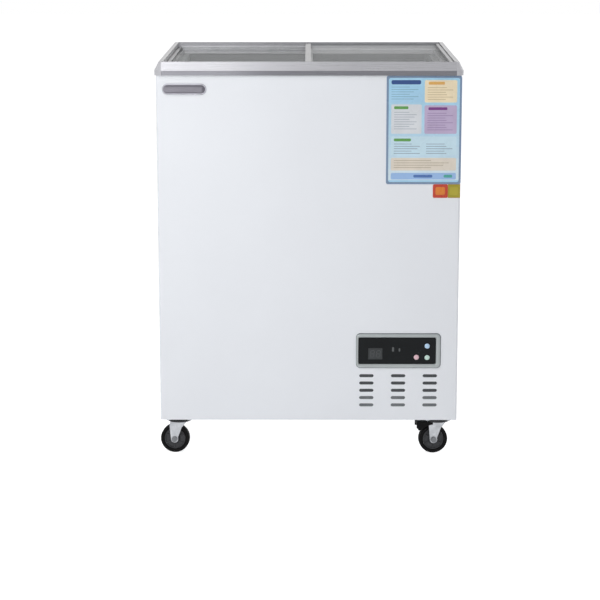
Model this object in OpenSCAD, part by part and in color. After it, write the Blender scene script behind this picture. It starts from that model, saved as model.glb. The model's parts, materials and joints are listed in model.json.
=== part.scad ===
// Small chest freezer with two sliding glass lids, on four casters.
// Origin on the floor under the middle of the cabinet, front towards -Y, +X to the right.

/* [Cabinet] */
// Width of the painted cabinet, side to side
body_w = 643; // [600:1:720]
// Depth of the painted cabinet, front to back
body_d = 553; // [520:1:620]
// Height of the cabinet, from its base to the underside of the top frame
body_h = 746; // [680:1:840]
// Outside bend radius of the cabinet's front corners
body_r = 5; // [3:0.5:8]
// Thickness of the painted steel sheet
sheet_t = 1.2; // [0.8:0.1:1.6]
// Thickness of the insulated walls, from the steel face to the inside of the tank
wall_t = 40; // [36:1:48]
// Thickness of the insulated floor under the tank
floor_t = 54; // [44:1:70]
// Thickness of the tank sheet
tank_t = 2; // [1.5:0.1:3]
// Radius of the tank's upright corners, inside
tank_r = 14; // [10:1:16]
// Width of the flange round the tank's mouth
tank_flange = 8; // [5:1:10]

/* [Top frame] */
// How far the frame stands out past the cabinet on every side
rim_over = 3.5; // [3.4:0.1:5]
// Height of the frame
rim_h = 28; // [27:0.5:34]
// Height of the upright lip under the sloping face
lip_h = 10; // [7:0.5:11]
// How far the sloping face leans inwards
slope_in = 9.4; // [8:0.1:11]
// Width of the ridge on the front and back rails
ridge_w = 3; // [2:0.5:4]
// Width of the ridge on the end rails
end_ridge_w = 9; // [8:0.5:11]
// Width of the upper lid's track
track_w = 6; // [5:0.5:7]
// Width of a rail, from its outer face to its inner edge
rail_w = 32; // [30:0.5:34]
// Height of the lower lid's track above the cabinet
low_track_z = 12; // [11:0.5:13]
// Height of the upper lid's track above the cabinet
high_track_z = 19.5; // [19:0.1:20]
// Wall of the extrusions
rail_t = 1.8; // [1.4:0.1:2.2]
// Length of a corner cap along each side
cap_w = 15; // [13:0.5:17]
// Height of the sheet edge that stands in the frame's groove
tuck_h = 3; // [2:0.5:3.5]

/* [Lids] */
// Thickness of the toughened glass
glass_t = 4; // [3:0.5:4.5]
// Height of the trims on the lids' ends
trim_h = 6; // [5.8:0.1:6.5]
// Width of the trims at the outer ends
end_trim_w = 8; // [6:0.5:12]
// Width of the trims that meet over the middle
mid_trim_w = 13; // [10:0.5:16]
// How far the lids lie over each other
lid_lap = 16; // [13:0.5:24]
// How deep the glass sits in its trims
glass_grip = 5; // [3:0.5:5.5]
// Side gap between a lid and its rails
lid_gap = 0.6; // [0.4:0.1:1]
// Gap between a lid and the track it runs on
ride_gap = 0.3; // [0.2:0.05:0.4]
// Thickness of the wiper strip under the upper lid's inner trim
wiper_t = 1.1; // [0.8:0.1:1.2]

/* [Machine compartment] */
// Width of the compartment, from its bulkhead to the cabinet's right face
comp_w = 250; // [240:1:262]
// Height of the compartment above the cabinet's base
comp_h = 228; // [220:1:250]
// Width of a vent slot
vent_w = 31; // [24:1:36]
// Height of a vent slot
vent_h = 7; // [5:0.5:9]
// Distance between the vent columns
vent_dx = 68.5; // [60:0.5:74]
// Distance between the vent rows
vent_dz = 16.25; // [13:0.25:18]
// Height of the lowest vent row above the base
vent_z = 33.6; // [28:0.2:40]
// Number of vent columns
vent_cols = 3; // [2:1:3]
// Number of vent rows
vent_rows = 5; // [3:1:5]

/* [Control panel] */
// Width of the bezel
bezel_w = 182.4; // [170:0.2:190]
// Height of the bezel
bezel_h = 77; // [70:0.5:84]
// Corner radius of the bezel
bezel_r = 9; // [6:0.5:12]
// How far the bezel stands out of the cabinet
bezel_t = 3.2; // [2.6:0.1:3.3]
// Distance from the cabinet's right face to the middle of the bezel
panel_dx = 128.1; // [120:0.1:136]
// Height of the bezel's middle above the cabinet's base
panel_dz = 154.3; // [148:0.1:160]
// Width of the black face
face_w = 166.3; // [150:0.1:168]
// Height of the black face
face_h = 58; // [54:0.5:62]
// How far the black face sits left of the bezel's middle
face_dx = 2.7; // [0:0.1:4]
// Thickness of the black face
face_t = 1.8; // [1.4:0.1:2.2]
// Width of the display window
window_w = 30.5; // [26:0.5:40]
// Height of the display window
window_h = 25; // [20:0.5:30]
// Diameter of a push button
button_d = 11; // [8:0.5:12]
// Travel of a push button
button_travel = 1.2; // [0.8:0.1:1.5]
// Depth of the tub behind the panel
tub_d = 32; // [28:1:40]

/* [Badge and sheet] */
// Length of the badge
badge_w = 93; // [70:1:110]
// Height of the badge
badge_h = 23; // [16:0.5:28]
// Thickness of the badge
badge_t = 2.8; // [2:0.1:3]
// Distance from the cabinet's left face to the badge
badge_dx = 13.3; // [8:0.1:20]
// Distance from the top frame down to the badge
badge_dz = 17.5; // [14:0.1:24]
// Width of the information sheet
info_w = 158.2; // [140:0.2:170]
// Height of the information sheet
info_h = 229; // [200:1:240]
// Thickness of the information sheet
info_t = 0.8; // [0.6:0.1:1.2]
// Height of the colour tabs under the sheet
tab_h = 29; // [22:0.5:34]
// Width of the red tab
red_tab_w = 31.4; // [26:0.2:34]
// Width of the olive tab
olive_tab_w = 26.6; // [22:0.2:30]

/* [Casters] */
// Height of a caster, from the floor to the top of its plate
caster_h = 84; // [82:0.5:92]
// Diameter of a wheel
wheel_d = 63; // [60:0.5:64]
// Width of a wheel's tread
wheel_w = 20; // [16:0.5:22]
// Distance from the swivel axis to the wheel's axle
trail = 10; // [8:0.5:14]
// Distance from the cabinet's sides to the swivel axes
caster_dx = 39; // [36:0.5:46]
// Distance from the cabinet's front and back to the swivel axes
caster_dy = 45; // [40:0.5:60]
// Side of the square caster plate
plate_w = 60; // [56:1:66]
// Thickness of the caster plate
plate_t = 2.5; // [2:0.1:3]
// Distance between the plate's screws
plate_holes = 46; // [42:1:50]
// Diameter of the axle bolt
axle_d = 8; // [6:0.5:9]
// Diameter of the king pin
king_d = 10; // [8:0.5:12]
// Turn of the front left, front right, rear left and rear right caster, in degrees
caster_turn = [-5, 5, 0, 0]; // [-20:1:20]

/* [Machinery] */
// Diameter of the compressor shell
comp_shell_d = 148; // [136:1:156]
// Height of the compressor shell
comp_shell_h = 182; // [160:1:186]
// Number of condenser fins
fin_count = 18; // [12:1:22]
// Thickness of a condenser fin
fin_t = 0.8; // [0.5:0.1:1]
// Depth of the condenser, front to back
fin_d = 44; // [40:1:50]
// Width of the condenser, end plate to end plate
coil_w = 190; // [180:1:194]
// Height of the condenser
coil_h = 186; // [184:1:196]
// Distance between the condenser's tube rows
row_dz = 36; // [34:0.5:38]
// Outside diameter of the refrigerant tubes
tube_d = 8; // [6:0.5:9]
// Diameter of the fan
fan_d = 140; // [120:1:146]
// Number of fan blades
fan_blades_n = 5; // [4:1:7]
// Pitch of the fan blades, in degrees
blade_pitch = 32; // [22:1:38]
// Number of evaporator turns round the tank
evap_turns = 5; // [3:1:5]
// Distance between the evaporator turns
evap_dz = 80; // [64:1:82]

/* [Hidden] */
seat_gap = 0.1;
run_gap = 0.05;
turn_gap = 0.3;
eps = 0.01;

// Levels
z_base = caster_h;
z_top = z_base + body_h;
pan_t = 2;
z_pan = z_base + pan_t;
comp_top = z_base + comp_h;
step_wall = floor_t - 12;
step_z = comp_top + step_wall;
well_z = z_base + floor_t;

// Cabinet faces
face_y = -body_d / 2;
back_y = body_d / 2;
rim_w = body_w + 2 * rim_over;
rim_d = body_d + 2 * rim_over;
in_w = body_w - 2 * wall_t;
in_d = body_d - 2 * wall_t;
comp_x = body_w / 2 - comp_w;
step_x = comp_x - step_wall;
pan_flange_h = 12;
skirt_h = 14;
skirt_t = 2;
strip_t = 3;

// Machine compartment: its middle, and the depth of what stands in it
mid_x = body_w / 2 - sheet_t - (comp_w - sheet_t) / 2;
bulkhead_t = 1.2;
coil_dy = 76;
coil_y = face_y + coil_dy;
coil_back_y = coil_y + fin_d / 2;
coil_lift = 4;
coil_z = z_pan + coil_lift;
end_plate_t = 1.5;
bend_r = 10;
col_dy = 22;
first_row_dz = 22;
first_row_z = coil_z + first_row_dz;
tube_rows = 5;
tube_stub = 3;
tube_end = tube_stub + bend_r;
top_row_z = first_row_z + (tube_rows - 1) * row_dz;

// Lids
lid_run = rim_w - 2 * (slope_in + end_ridge_w) - 2 * lid_gap;
lid_len = (lid_run + lid_lap) / 2;
low_lid_y = rim_d / 2 - slope_in - ridge_w - track_w - lid_gap;
high_lid_y = rim_d / 2 - slope_in - ridge_w - lid_gap;
low_lid_z = z_top + low_track_z + ride_gap;
high_lid_z = z_top + high_track_z + ride_gap;
glass_lift = 0.9;

// Control panel
panel_x = body_w / 2 - panel_dx;
panel_z = z_base + panel_dz;
face_x = panel_x - face_dx;
cut_edge = 4;
cut_w = face_w - 2 * cut_edge;
cut_h = face_h - 2 * cut_edge;
face_corner = 3;
face_front_y = face_y - face_t;
window_up = 0.4;
button_up = 1.4;
button_flange_t = 1;
button_flange_d = button_d + 3;
button_dx = [64.6, 64.6, 41.4];
button_dz = [10.5, -14.9, -14.3];
window_dx = -47;
window_dz = -6.6;
board_t = 1.6;
board_back = 10;
board_y = face_y + tub_d - board_back;
board_in = 5;
switch_w = 6;
switch_h = 4;
display_h = 12;
tub_wall = 2;
tub_flange = 6;
post_w = 8;

// Casters
caster_x = body_w / 2 - caster_dx;
caster_y = body_d / 2 - caster_dy;
axle_z = wheel_d / 2;
crown_r = 24;
crown_t = 3;
race_t = 5.5;
crown_z = caster_h - plate_t - race_t - crown_t;
leg_t = 2;
leg_in = wheel_w / 2 + 2;
leg_out = leg_in + leg_t;
leg_tip_r = 8;
king_head_t = 2;
ped_pin = [-17, crown_z - 4.5];
ped_pin_d = 4;
cheek_t = 2;
cheek_in = leg_out + 0.5;
cheek_out = cheek_in + cheek_t;
shoe_gap = 3;
screw_d = 6;
screw_hole = 6.6;
screw_head_d = 10;
screw_head_h = 4;

// Air openings in the base
air_w = 32;
air_d = 36;
air_dx = 44;
air_edge = 6;
air_front_y = face_y + 32;

// Compressor
shell_r = comp_shell_d / 2;
shell_y = 72;
foot_t = 3;
foot_lift = 10;
foot_z = z_pan + foot_lift;
shell_z = foot_z + foot_t;
flange_z = shell_z + comp_shell_h * 0.5;
stub_len = 14;
discharge_dz = 46;
suction_dz = 24;
grommet_dx = 78;
grommet_dy = 62;
grommet_d = 12;
grommet_r = 9;
grommet_bore = 4;
foot_edge_x = 15;
foot_edge_y = 13;
air_rear_y = shell_y + grommet_dy + foot_edge_y + air_edge + air_d / 2;

// Fan
shroud_d = 20;
shroud_t = 1.5;
ring_gap = 5;
shroud_y = coil_back_y + shroud_d;
fan_z = coil_z + coil_h / 2;
fan_depth = 18;
fan_gap = 4;
fan_y = shroud_y + fan_gap;
hub_d = 38;
shaft_d = 5;
motor_y = fan_y + fan_depth + fan_gap;
motor_len = 38;
motor_d = 62;
shaft_len = fan_gap + motor_len - 6;

// Evaporator
evap_bend = tank_r + tank_t + seat_gap + tube_d / 2;
evap_x = in_w / 2 + tank_t + seat_gap + tube_d / 2;
evap_y = in_d / 2 + tank_t + seat_gap + tube_d / 2;
evap_riser_y = 120;
evap_rise = 44;
evap_z0 = step_z + evap_rise;
groove = 0.5;

// Drain
drain_in = 120;
drain_x = -body_w / 2 + drain_in;
drain_y = face_y + drain_in;
drain_r = 8;
drain_bore = 6;
collar_r = 13;
collar_t = 3;
spout_len = 18;
drain_flange_r = 14;
drain_flange_t = 2;

// Plan of the cabinet at a depth under its painted face: round at the front, square at the back
module cabinet_plan(inset, y1) {
    r = max(body_r - inset, 0.4);
    w = body_w - 2 * inset;
    y0 = face_y + inset;
    translate([-w / 2, y0 + r]) square([w, y1 - y0 - r]);
    translate([-w / 2 + r, y0]) square([w - 2 * r, y1 - y0]);
    for (s = [-1, 1]) translate([s * (w / 2 - r), y0 + r]) circle(r = r, $fn = 48);
}

// Rectangle with round corners, about its middle
module round_plan(w, d, r) {
    square([w - 2 * r, d], center = true);
    square([w, d - 2 * r], center = true);
    for (x = [-1, 1], y = [-1, 1]) {
        translate([x * (w / 2 - r), y * (d / 2 - r)]) circle(r = r, $fn = 48);
    }
}

// Slot with round ends, about its middle
module slot_plan(w, h) {
    square([w - h, h], center = true);
    for (s = [-1, 1]) translate([s * (w - h) / 2, 0]) circle(d = h, $fn = 32);
}

// A flat shape drawn in X and Z, standing from y0 to y0 + t
module front_plate(y0, t) {
    translate([0, y0 + t, 0]) rotate([90, 0, 0]) linear_extrude(t) children();
}

// A length of round tube from a to b, along an axis
module tube_leg(a, b, r) {
    u = (b - a) / norm(b - a);
    v = abs(u[2]) > 0.5 ? [1, 0, 0] : [0, 0, 1];
    w = cross(u, v);
    multmatrix([[v[0], w[0], u[0], a[0]], [v[1], w[1], u[1], a[1]], [v[2], w[2], u[2], a[2]]])
        cylinder(h = norm(b - a), r = r, $fn = 24);
}

// A quarter bend at the corner p, from direction a to direction b
module tube_bend(p, a, b, r, bend) {
    c = p - a * bend + b * bend;
    k = cross(a, b);
    multmatrix([[-b[0], a[0], k[0], c[0]], [-b[1], a[1], k[1], c[1]], [-b[2], a[2], k[2], c[2]]])
        rotate_extrude(angle = 90, $fn = 48) translate([bend, 0]) circle(r = r, $fn = 24);
}

// A tube through points that lie square to each other, with a bend at each inner point
module tube_run(pts, r, bend) {
    n = len(pts);
    dir = [for (i = [0:n - 2]) (pts[i + 1] - pts[i]) / norm(pts[i + 1] - pts[i])];
    for (i = [0:n - 2]) {
        a = pts[i] + (i > 0 ? dir[i] * bend : [0, 0, 0]);
        b = pts[i + 1] - (i < n - 2 ? dir[i] * bend : [0, 0, 0]);
        if (norm(b - a) > eps) tube_leg(a, b, r);
    }
    for (i = [1:n - 2]) tube_bend(pts[i], dir[i - 1], dir[i], r, bend);
}

// Cabinet

module vent_slots() {
    x0 = panel_x - vent_dx * (vent_cols - 1) / 2;
    for (c = [0:vent_cols - 1], k = [0:vent_rows - 1]) {
        translate([x0 + c * vent_dx, z_base + vent_z + k * vent_dz]) slot_plan(vent_w, vent_h);
    }
}

// The edge of the sheet that stands in the frame's groove, between the corner caps
module tuck_edges() {
    w = rim_w - 2 * cap_w - 4;
    d = rim_d - 2 * cap_w - 4;
    translate([-w / 2, face_y, z_top - eps]) cube([w, sheet_t, tuck_h + eps]);
    for (s = [-1, 1]) {
        translate([s * (body_w - sheet_t) / 2 - sheet_t / 2, -d / 2, z_top - eps])
            cube([sheet_t, d, tuck_h + eps]);
    }
}

module outer_wrap() {
    color([0.93, 0.94, 0.96]) difference() {
        union() {
            translate([0, 0, z_base]) linear_extrude(body_h) difference() {
                cabinet_plan(0, back_y);
                cabinet_plan(sheet_t, back_y + 1);
            }
            tuck_edges();
        }
        front_plate(face_y - 1, sheet_t + 2) vent_slots();
        front_plate(face_y - 1, sheet_t + 2) translate([face_x, panel_z]) round_plan(cut_w, cut_h, 4);
    }
}

module back_panel() {
    w = body_w / 2 - sheet_t - seat_gap;
    d = rim_d - 2 * cap_w - 4;
    color([0.9, 0.91, 0.92]) {
        front_plate(back_y - sheet_t, sheet_t) polygon([
            [-w, z_base], [comp_x, z_base], [comp_x, comp_top], [w, comp_top], [w, z_top],
            [d / 2, z_top], [d / 2, z_top + tuck_h], [-d / 2, z_top + tuck_h], [-d / 2, z_top], [-w, z_top]]);
    }
}

module caster_places() {
    for (i = [0:3]) {
        translate([(i % 2 == 0 ? -1 : 1) * caster_x, (i < 2 ? -1 : 1) * caster_y, 0]) children();
    }
}

module plate_screw_places() {
    for (x = [-1, 1], y = [-1, 1]) translate([x * plate_holes / 2, y * plate_holes / 2, 0]) children();
}

module base_pan() {
    y1 = back_y - sheet_t - seat_gap;
    air_x = caster_x - plate_w / 2 - air_edge - air_w / 2;
    color([0.75, 0.77, 0.78]) difference() {
        union() {
            translate([0, 0, z_base]) linear_extrude(pan_t) cabinet_plan(sheet_t + seat_gap, y1);
            translate([0, 0, z_base]) linear_extrude(pan_flange_h) difference() {
                cabinet_plan(sheet_t + seat_gap, y1);
                cabinet_plan(2 * sheet_t + seat_gap, y1 + 1);
            }
        }
        for (k = [0:2], y = [air_front_y, air_rear_y]) {
            translate([air_x - k * air_dx, y, z_base - 1])
                linear_extrude(pan_t + 2) round_plan(air_w, air_d, 3);
        }
        caster_places() plate_screw_places() translate([0, 0, z_base - 1])
            cylinder(h = pan_t + 2, d = screw_hole, $fn = 24);
        translate([drain_x, drain_y, z_base - 1]) cylinder(h = pan_t + 2, r = drain_r + turn_gap, $fn = 32);
    }
}

// The hollow of the tank, grown by t: a full-width upper part and a deeper well on the left
module tank_form(t, z1) {
    well_w = step_x + in_w / 2;
    translate([0, 0, step_z - t]) linear_extrude(z1 - step_z + t)
        round_plan(in_w + 2 * t, in_d + 2 * t, tank_r + t);
    translate([step_x - well_w / 2, 0, well_z - t]) linear_extrude(z1 - well_z + t)
        round_plan(well_w + 2 * t, in_d + 2 * t, tank_r + t);
}

module inner_tank() {
    color([0.86, 0.87, 0.88]) difference() {
        union() {
            tank_form(tank_t, z_top);
            translate([0, 0, z_top - tank_t]) linear_extrude(tank_t)
                round_plan(in_w + 2 * (tank_t + tank_flange), in_d + 2 * (tank_t + tank_flange), tank_r);
        }
        tank_form(0, z_top + 1);
        translate([drain_x, drain_y, well_z - tank_t - 1])
            cylinder(h = tank_t + 2, r = drain_r + seat_gap, $fn = 32);
    }
}

// Channels in the foam for the evaporator tube
module evaporator_channels() {
    reach = tube_d + seat_gap + groove + tank_t;
    for (k = [0:evap_turns - 1]) {
        translate([0, 0, evap_z0 + k * evap_dz - tube_d / 2 - groove]) linear_extrude(tube_d + 2 * groove)
            round_plan(in_w + 2 * reach, in_d + 2 * reach, tank_r + reach);
    }
    translate([in_w / 2 - 1, evap_riser_y - evap_bend - tube_d / 2 - groove, comp_top - 1])
        cube([reach + 1, 2 * (evap_bend + tube_d / 2 + groove), evap_z0 + evap_turns * evap_dz - comp_top]);
}

module foam_insulation() {
    y1 = back_y - sheet_t - seat_gap;
    recess = tank_t + tank_flange + seat_gap;
    color([0.9, 0.84, 0.66]) difference() {
        translate([0, 0, z_pan]) linear_extrude(z_top - z_pan) cabinet_plan(sheet_t + seat_gap, y1);
        tank_form(tank_t + seat_gap, z_top + 1);
        translate([0, 0, z_top - tank_t - seat_gap]) linear_extrude(tank_t + 1)
            round_plan(in_w + 2 * recess, in_d + 2 * recess, tank_r + seat_gap);
        translate([comp_x - seat_gap, -body_d, z_pan - 1])
            cube([body_w, 2 * body_d, comp_top - z_pan + 1 + seat_gap]);
        translate([0, 0, z_pan - 1]) linear_extrude(pan_flange_h - pan_t + 1 + seat_gap) difference() {
            cabinet_plan(0, y1 + 1);
            cabinet_plan(2 * sheet_t + 2 * seat_gap, y1 + 2);
        }
        evaporator_channels();
        translate([drain_x, drain_y, z_pan - 1]) cylinder(h = floor_t + 2, r = drain_r + turn_gap, $fn = 32);
    }
}

module mouth_strip() {
    plan_w = rim_w - 2 * (rail_w + seat_gap);
    plan_d = rim_d - 2 * (rail_w + seat_gap);
    hole_w = in_w - 2 * (skirt_t + seat_gap);
    hole_d = in_d - 2 * (skirt_t + seat_gap);
    hole_r = tank_r - skirt_t - seat_gap;
    color([0.9, 0.91, 0.92]) difference() {
        union() {
            translate([0, 0, z_top]) linear_extrude(strip_t) square([plan_w, plan_d], center = true);
            translate([0, 0, z_top - skirt_h]) linear_extrude(skirt_h + eps)
                round_plan(in_w - 2 * seat_gap, in_d - 2 * seat_gap, tank_r - seat_gap);
        }
        translate([0, 0, z_top - skirt_h - 1]) linear_extrude(skirt_h + strip_t + 2)
            round_plan(hole_w, hole_d, hole_r);
    }
}

// Top frame

// Where the inside of the sloping wall lies at height z
function slope_x(z) = slope_in * (z - lip_h) / (rim_h - lip_h)
    + rail_t * norm([slope_in, rim_h - lip_h]) / (rim_h - lip_h);

// Section of an extrusion: x runs inwards from the outer face, y upwards
module rail_section(top_w, track) {
    a = slope_in + top_w;
    b = a + track;
    z1 = track > 0 ? high_track_z : rim_h;
    hollow_top = z1 - rail_t;
    hollow_b = (track > 0 ? b : a) - rail_t;
    sill = tuck_h + rail_t;
    difference() {
        polygon(track > 0
            ? [[0, 0], [0, lip_h], [slope_in, rim_h], [a, rim_h], [a, z1], [b, z1], [b, low_track_z],
                [rail_w, low_track_z], [rail_w, 0]]
            : [[0, 0], [0, lip_h], [slope_in, rim_h], [a, rim_h], [a, low_track_z],
                [rail_w, low_track_z], [rail_w, 0]]);
        polygon([[rail_t, sill], [rail_t, lip_h], [slope_x(hollow_top), hollow_top], [hollow_b, hollow_top],
            [hollow_b, low_track_z - rail_t], [rail_w - rail_t, low_track_z - rail_t],
            [rail_w - rail_t, sill]]);
        translate([rim_over - seat_gap, -1]) square([sheet_t + 2 * seat_gap, tuck_h + seat_gap + 1]);
    }
}

// One rail along X with its outer face at y = -reach, mitred into its neighbours behind the corner caps
module edge_rail(run, reach, top_w, track) {
    h = run / 2 - seat_gap;
    deep = rail_w + 1;
    color([0.78, 0.78, 0.79]) translate([0, -reach, z_top]) intersection() {
        translate([-run / 2, 0, 0]) rotate([90, 0, 90]) linear_extrude(run) rail_section(top_w, track);
        translate([0, 0, -1]) linear_extrude(rim_h + 2) polygon([
            [-h + cap_w, -1], [h - cap_w, -1], [h - cap_w, cap_w], [h - deep, deep],
            [-h + deep, deep], [-h + cap_w, cap_w]]);
    }
}

module front_rail() { edge_rail(rim_w, rim_d / 2, ridge_w, track_w); }
module back_rail() { rotate(180) edge_rail(rim_w, rim_d / 2, ridge_w, track_w); }
module left_rail() { rotate(-90) edge_rail(rim_d, rim_w / 2, end_ridge_w, 0); }
module right_rail() { rotate(90) edge_rail(rim_d, rim_w / 2, end_ridge_w, 0); }

module corner_caps() {
    color([0.88, 0.88, 0.9])
        for (i = [0:3]) {
            sx = (i == 0 || i == 3) ? 1 : -1;
            sy = i < 2 ? 1 : -1;
            translate([sx * (rim_w / 2 - cap_w), sy * (rim_d / 2 - cap_w), z_top]) rotate(90 * i)
                rotate_extrude(angle = 90, $fn = 64)
                    polygon([[0, 0], [cap_w, 0], [cap_w, lip_h], [cap_w - slope_in, rim_h], [0, rim_h]]);
        }
}

// Lids

// A trim along Y that grips the glass on one side: side is +1 where the glass lies towards +X
module lid_trim(x0, w, half_y, z0, side) {
    lead = 1;
    m = side > 0 ? 0 : 1;
    color([0.86, 0.86, 0.88]) translate([x0 + m * w, -half_y, z0]) mirror([m, 0, 0])
        rotate([90, 0, 0]) mirror([0, 0, 1]) linear_extrude(2 * half_y) difference() {
            polygon([
                [0, 0], [0, trim_h - lead], [lead, trim_h],
                [w - lead, trim_h], [w, trim_h - lead], [w, 0]]);
            translate([w - glass_grip - seat_gap, glass_lift - seat_gap])
                square([glass_grip + 2, glass_t + 2 * seat_gap]);
        }
}

module lid_glass(x0, w0, x1, w1, half_y, z0) {
    color([0.75, 0.82, 0.84, 0.4]) translate([x0 + w0 - glass_grip, -half_y, z0 + glass_lift])
        cube([x1 - w1 + glass_grip - (x0 + w0 - glass_grip), 2 * half_y, glass_t]);
}

left_x0 = -lid_run / 2;
left_x1 = left_x0 + lid_len;
right_x1 = lid_run / 2;
right_x0 = right_x1 - lid_len;

module left_lid_glass() { lid_glass(left_x0, end_trim_w, left_x1, mid_trim_w, low_lid_y, low_lid_z); }
module left_lid_end_trim() { lid_trim(left_x0, end_trim_w, low_lid_y, low_lid_z, 1); }
module left_lid_inner_trim() { lid_trim(left_x1 - mid_trim_w, mid_trim_w, low_lid_y, low_lid_z, -1); }
module right_lid_glass() { lid_glass(right_x0, mid_trim_w, right_x1, end_trim_w, high_lid_y, high_lid_z); }
module right_lid_end_trim() { lid_trim(right_x1 - end_trim_w, end_trim_w, high_lid_y, high_lid_z, -1); }
module right_lid_inner_trim() { lid_trim(right_x0, mid_trim_w, high_lid_y, high_lid_z, 1); }

module lid_wiper() {
    color([0.2, 0.2, 0.2]) translate([right_x0 + 1, -low_lid_y + 2, high_lid_z - wiper_t])
        cube([4, 2 * low_lid_y - 4, wiper_t]);
}

// Control panel

module panel_bezel() {
    lean = 3;
    color([0.72, 0.73, 0.75]) difference() {
        hull() {
            front_plate(face_y - 1, 1) translate([panel_x, panel_z]) round_plan(bezel_w, bezel_h, bezel_r);
            front_plate(face_y - bezel_t, 1) translate([panel_x, panel_z])
                round_plan(bezel_w - 2 * lean, bezel_h - 2 * lean, bezel_r - lean);
        }
        front_plate(face_y - bezel_t - 1, bezel_t + 2) translate([face_x, panel_z])
            round_plan(face_w + 2 * seat_gap, face_h + 2 * seat_gap, face_corner);
    }
}

module button_places(grow) {
    for (i = [0:2]) {
        translate([face_x + button_dx[i], panel_z + button_dz[i]]) circle(r = button_d / 2 + grow, $fn = 48);
    }
}

module panel_face() {
    color([0.12, 0.13, 0.14]) front_plate(face_front_y, face_t) difference() {
        translate([face_x, panel_z]) round_plan(face_w, face_h, face_corner);
        button_places(turn_gap);
        translate([face_x + window_dx, panel_z + window_dz]) square([window_w, window_h], center = true);
    }
}

module display_window() {
    color([0.3, 0.31, 0.32]) front_plate(face_front_y - window_up, face_t + window_up)
        translate([face_x + window_dx, panel_z + window_dz])
            square([window_w - 2 * seat_gap, window_h - 2 * seat_gap], center = true);
}

// A push button: a cap through the black face, held behind it by its collar, with a stem to its switch
module push_button(i, tint) {
    back = face_y + turn_gap;
    stem_end = board_y - switch_h - button_travel - turn_gap;
    color(tint) translate([face_x + button_dx[i], 0, panel_z + button_dz[i]]) rotate([-90, 0, 0])
        rotate_extrude($fn = 48) polygon([
            [0, face_front_y - button_up], [button_d / 2 - 1.2, face_front_y - button_up],
            [button_d / 2 - 0.4, face_front_y - button_up + 0.4],
            [button_d / 2, face_front_y - button_up + 1.2], [button_d / 2, back],
            [button_flange_d / 2, back], [button_flange_d / 2, back + button_flange_t],
            [2, back + button_flange_t], [2, stem_end], [0, stem_end]]);
}

module upper_button() { push_button(0, [0.66, 0.8, 0.95]); }
module lower_right_button() { push_button(1, [0.72, 0.9, 0.82]); }
module lower_left_button() { push_button(2, [0.9, 0.72, 0.76]); }

module control_board() {
    w = cut_w - 2 * tub_wall - 2 * board_in;
    h = cut_h - 2 * tub_wall - board_in;
    color([0.15, 0.42, 0.24]) {
        front_plate(board_y, board_t) translate([face_x, panel_z]) square([w, h], center = true);
        for (i = [0:2]) {
            front_plate(board_y - switch_h, switch_h + eps)
                translate([face_x + button_dx[i], panel_z + button_dz[i]]) square(switch_w, center = true);
        }
        front_plate(board_y - display_h, display_h + eps) translate([face_x + window_dx, panel_z + window_dz])
            square([window_w - 2 * tub_wall, window_h - 2 * tub_wall], center = true);
    }
}

module panel_tub() {
    t = tub_wall;
    w = cut_w - 1;
    h = cut_h - 1;
    y0 = face_y + sheet_t + seat_gap;
    post_y = board_y + board_t;
    color([0.25, 0.26, 0.27]) difference() {
        union() {
            front_plate(y0, tub_d) translate([face_x, panel_z]) round_plan(w, h, cut_edge);
            front_plate(y0, t) translate([face_x, panel_z])
                round_plan(w + 2 * tub_flange, h + 2 * tub_flange, tub_flange);
        }
        front_plate(y0 - 1, tub_d - t + 1) translate([face_x, panel_z])
            round_plan(w - 2 * t, h - 2 * t, cut_edge - t);
    }
    for (s = [-1, 1]) {
        color([0.25, 0.26, 0.27]) front_plate(post_y, y0 + tub_d - t - post_y + eps)
            translate([face_x + s * (w / 2 - t - post_w), panel_z]) square(post_w, center = true);
    }
}

module badge_plate() {
    x = -body_w / 2 + badge_dx + badge_w / 2;
    z = z_top - badge_dz - badge_h / 2;
    ring = 2;
    color([0.7, 0.71, 0.73]) difference() {
        front_plate(face_y - badge_t, badge_t) translate([x, z]) slot_plan(badge_w, badge_h);
        front_plate(face_y - badge_t - 1, 1 + badge_t / 3) translate([x, z])
            slot_plan(badge_w - 2 * ring, badge_h - 2 * ring);
    }
}

module info_sheet() {
    color([0.65, 0.8, 0.93]) front_plate(face_y - info_t, info_t)
        translate([body_w / 2 - info_w / 2, z_top - 0.5 - info_h / 2]) round_plan(info_w, info_h, 4);
}

module colour_tabs() {
    z0 = z_top - 0.5 - info_h - turn_gap - tab_h;
    x1 = body_w / 2 - 0.6;
    color([0.85, 0.4, 0.15]) front_plate(face_y - info_t, info_t)
        translate([x1 - olive_tab_w - red_tab_w / 2, z0 + tab_h / 2]) round_plan(red_tab_w, tab_h, 3);
    color([0.66, 0.6, 0.2]) front_plate(face_y - info_t, info_t)
        translate([x1 - olive_tab_w / 2 + turn_gap / 2, z0 + tab_h / 2])
            square([olive_tab_w - turn_gap, tab_h], center = true);
}

// Machine compartment

module bulkhead() {
    y0 = face_y + sheet_t + seat_gap;
    y1 = back_y - sheet_t - seat_gap;
    x1 = body_w / 2 - sheet_t - seat_gap;
    color([0.7, 0.72, 0.74]) intersection() {
        front_plate(y0, y1 - y0) polygon([
            [comp_x, z_pan], [comp_x + bulkhead_t, z_pan], [comp_x + bulkhead_t, comp_top - bulkhead_t],
            [x1, comp_top - bulkhead_t], [x1, comp_top], [comp_x, comp_top]]);
        translate([0, 0, z_pan]) linear_extrude(comp_h) cabinet_plan(2 * sheet_t + 2 * seat_gap, y1);
    }
}

grille_screw_x = [comp_x + 14, mid_x, body_w / 2 - 14];
grille_screw_z = [z_base + 22, comp_top - 12];
grille_rows = 9;
grille_z = 36;
grille_dx = 52;
grille_dz = 19;
grille_slot_w = 84;
grille_slot_h = 8;
gland_dx = 62;
gland_dz = 46;
gland_x = mid_x + gland_dx;
gland_z = z_base + gland_dz;
gland_bore = 4.2;
gland_r = 8;
gland_lip_r = 11;
gland_in = 12;
gland_out = 3;

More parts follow.
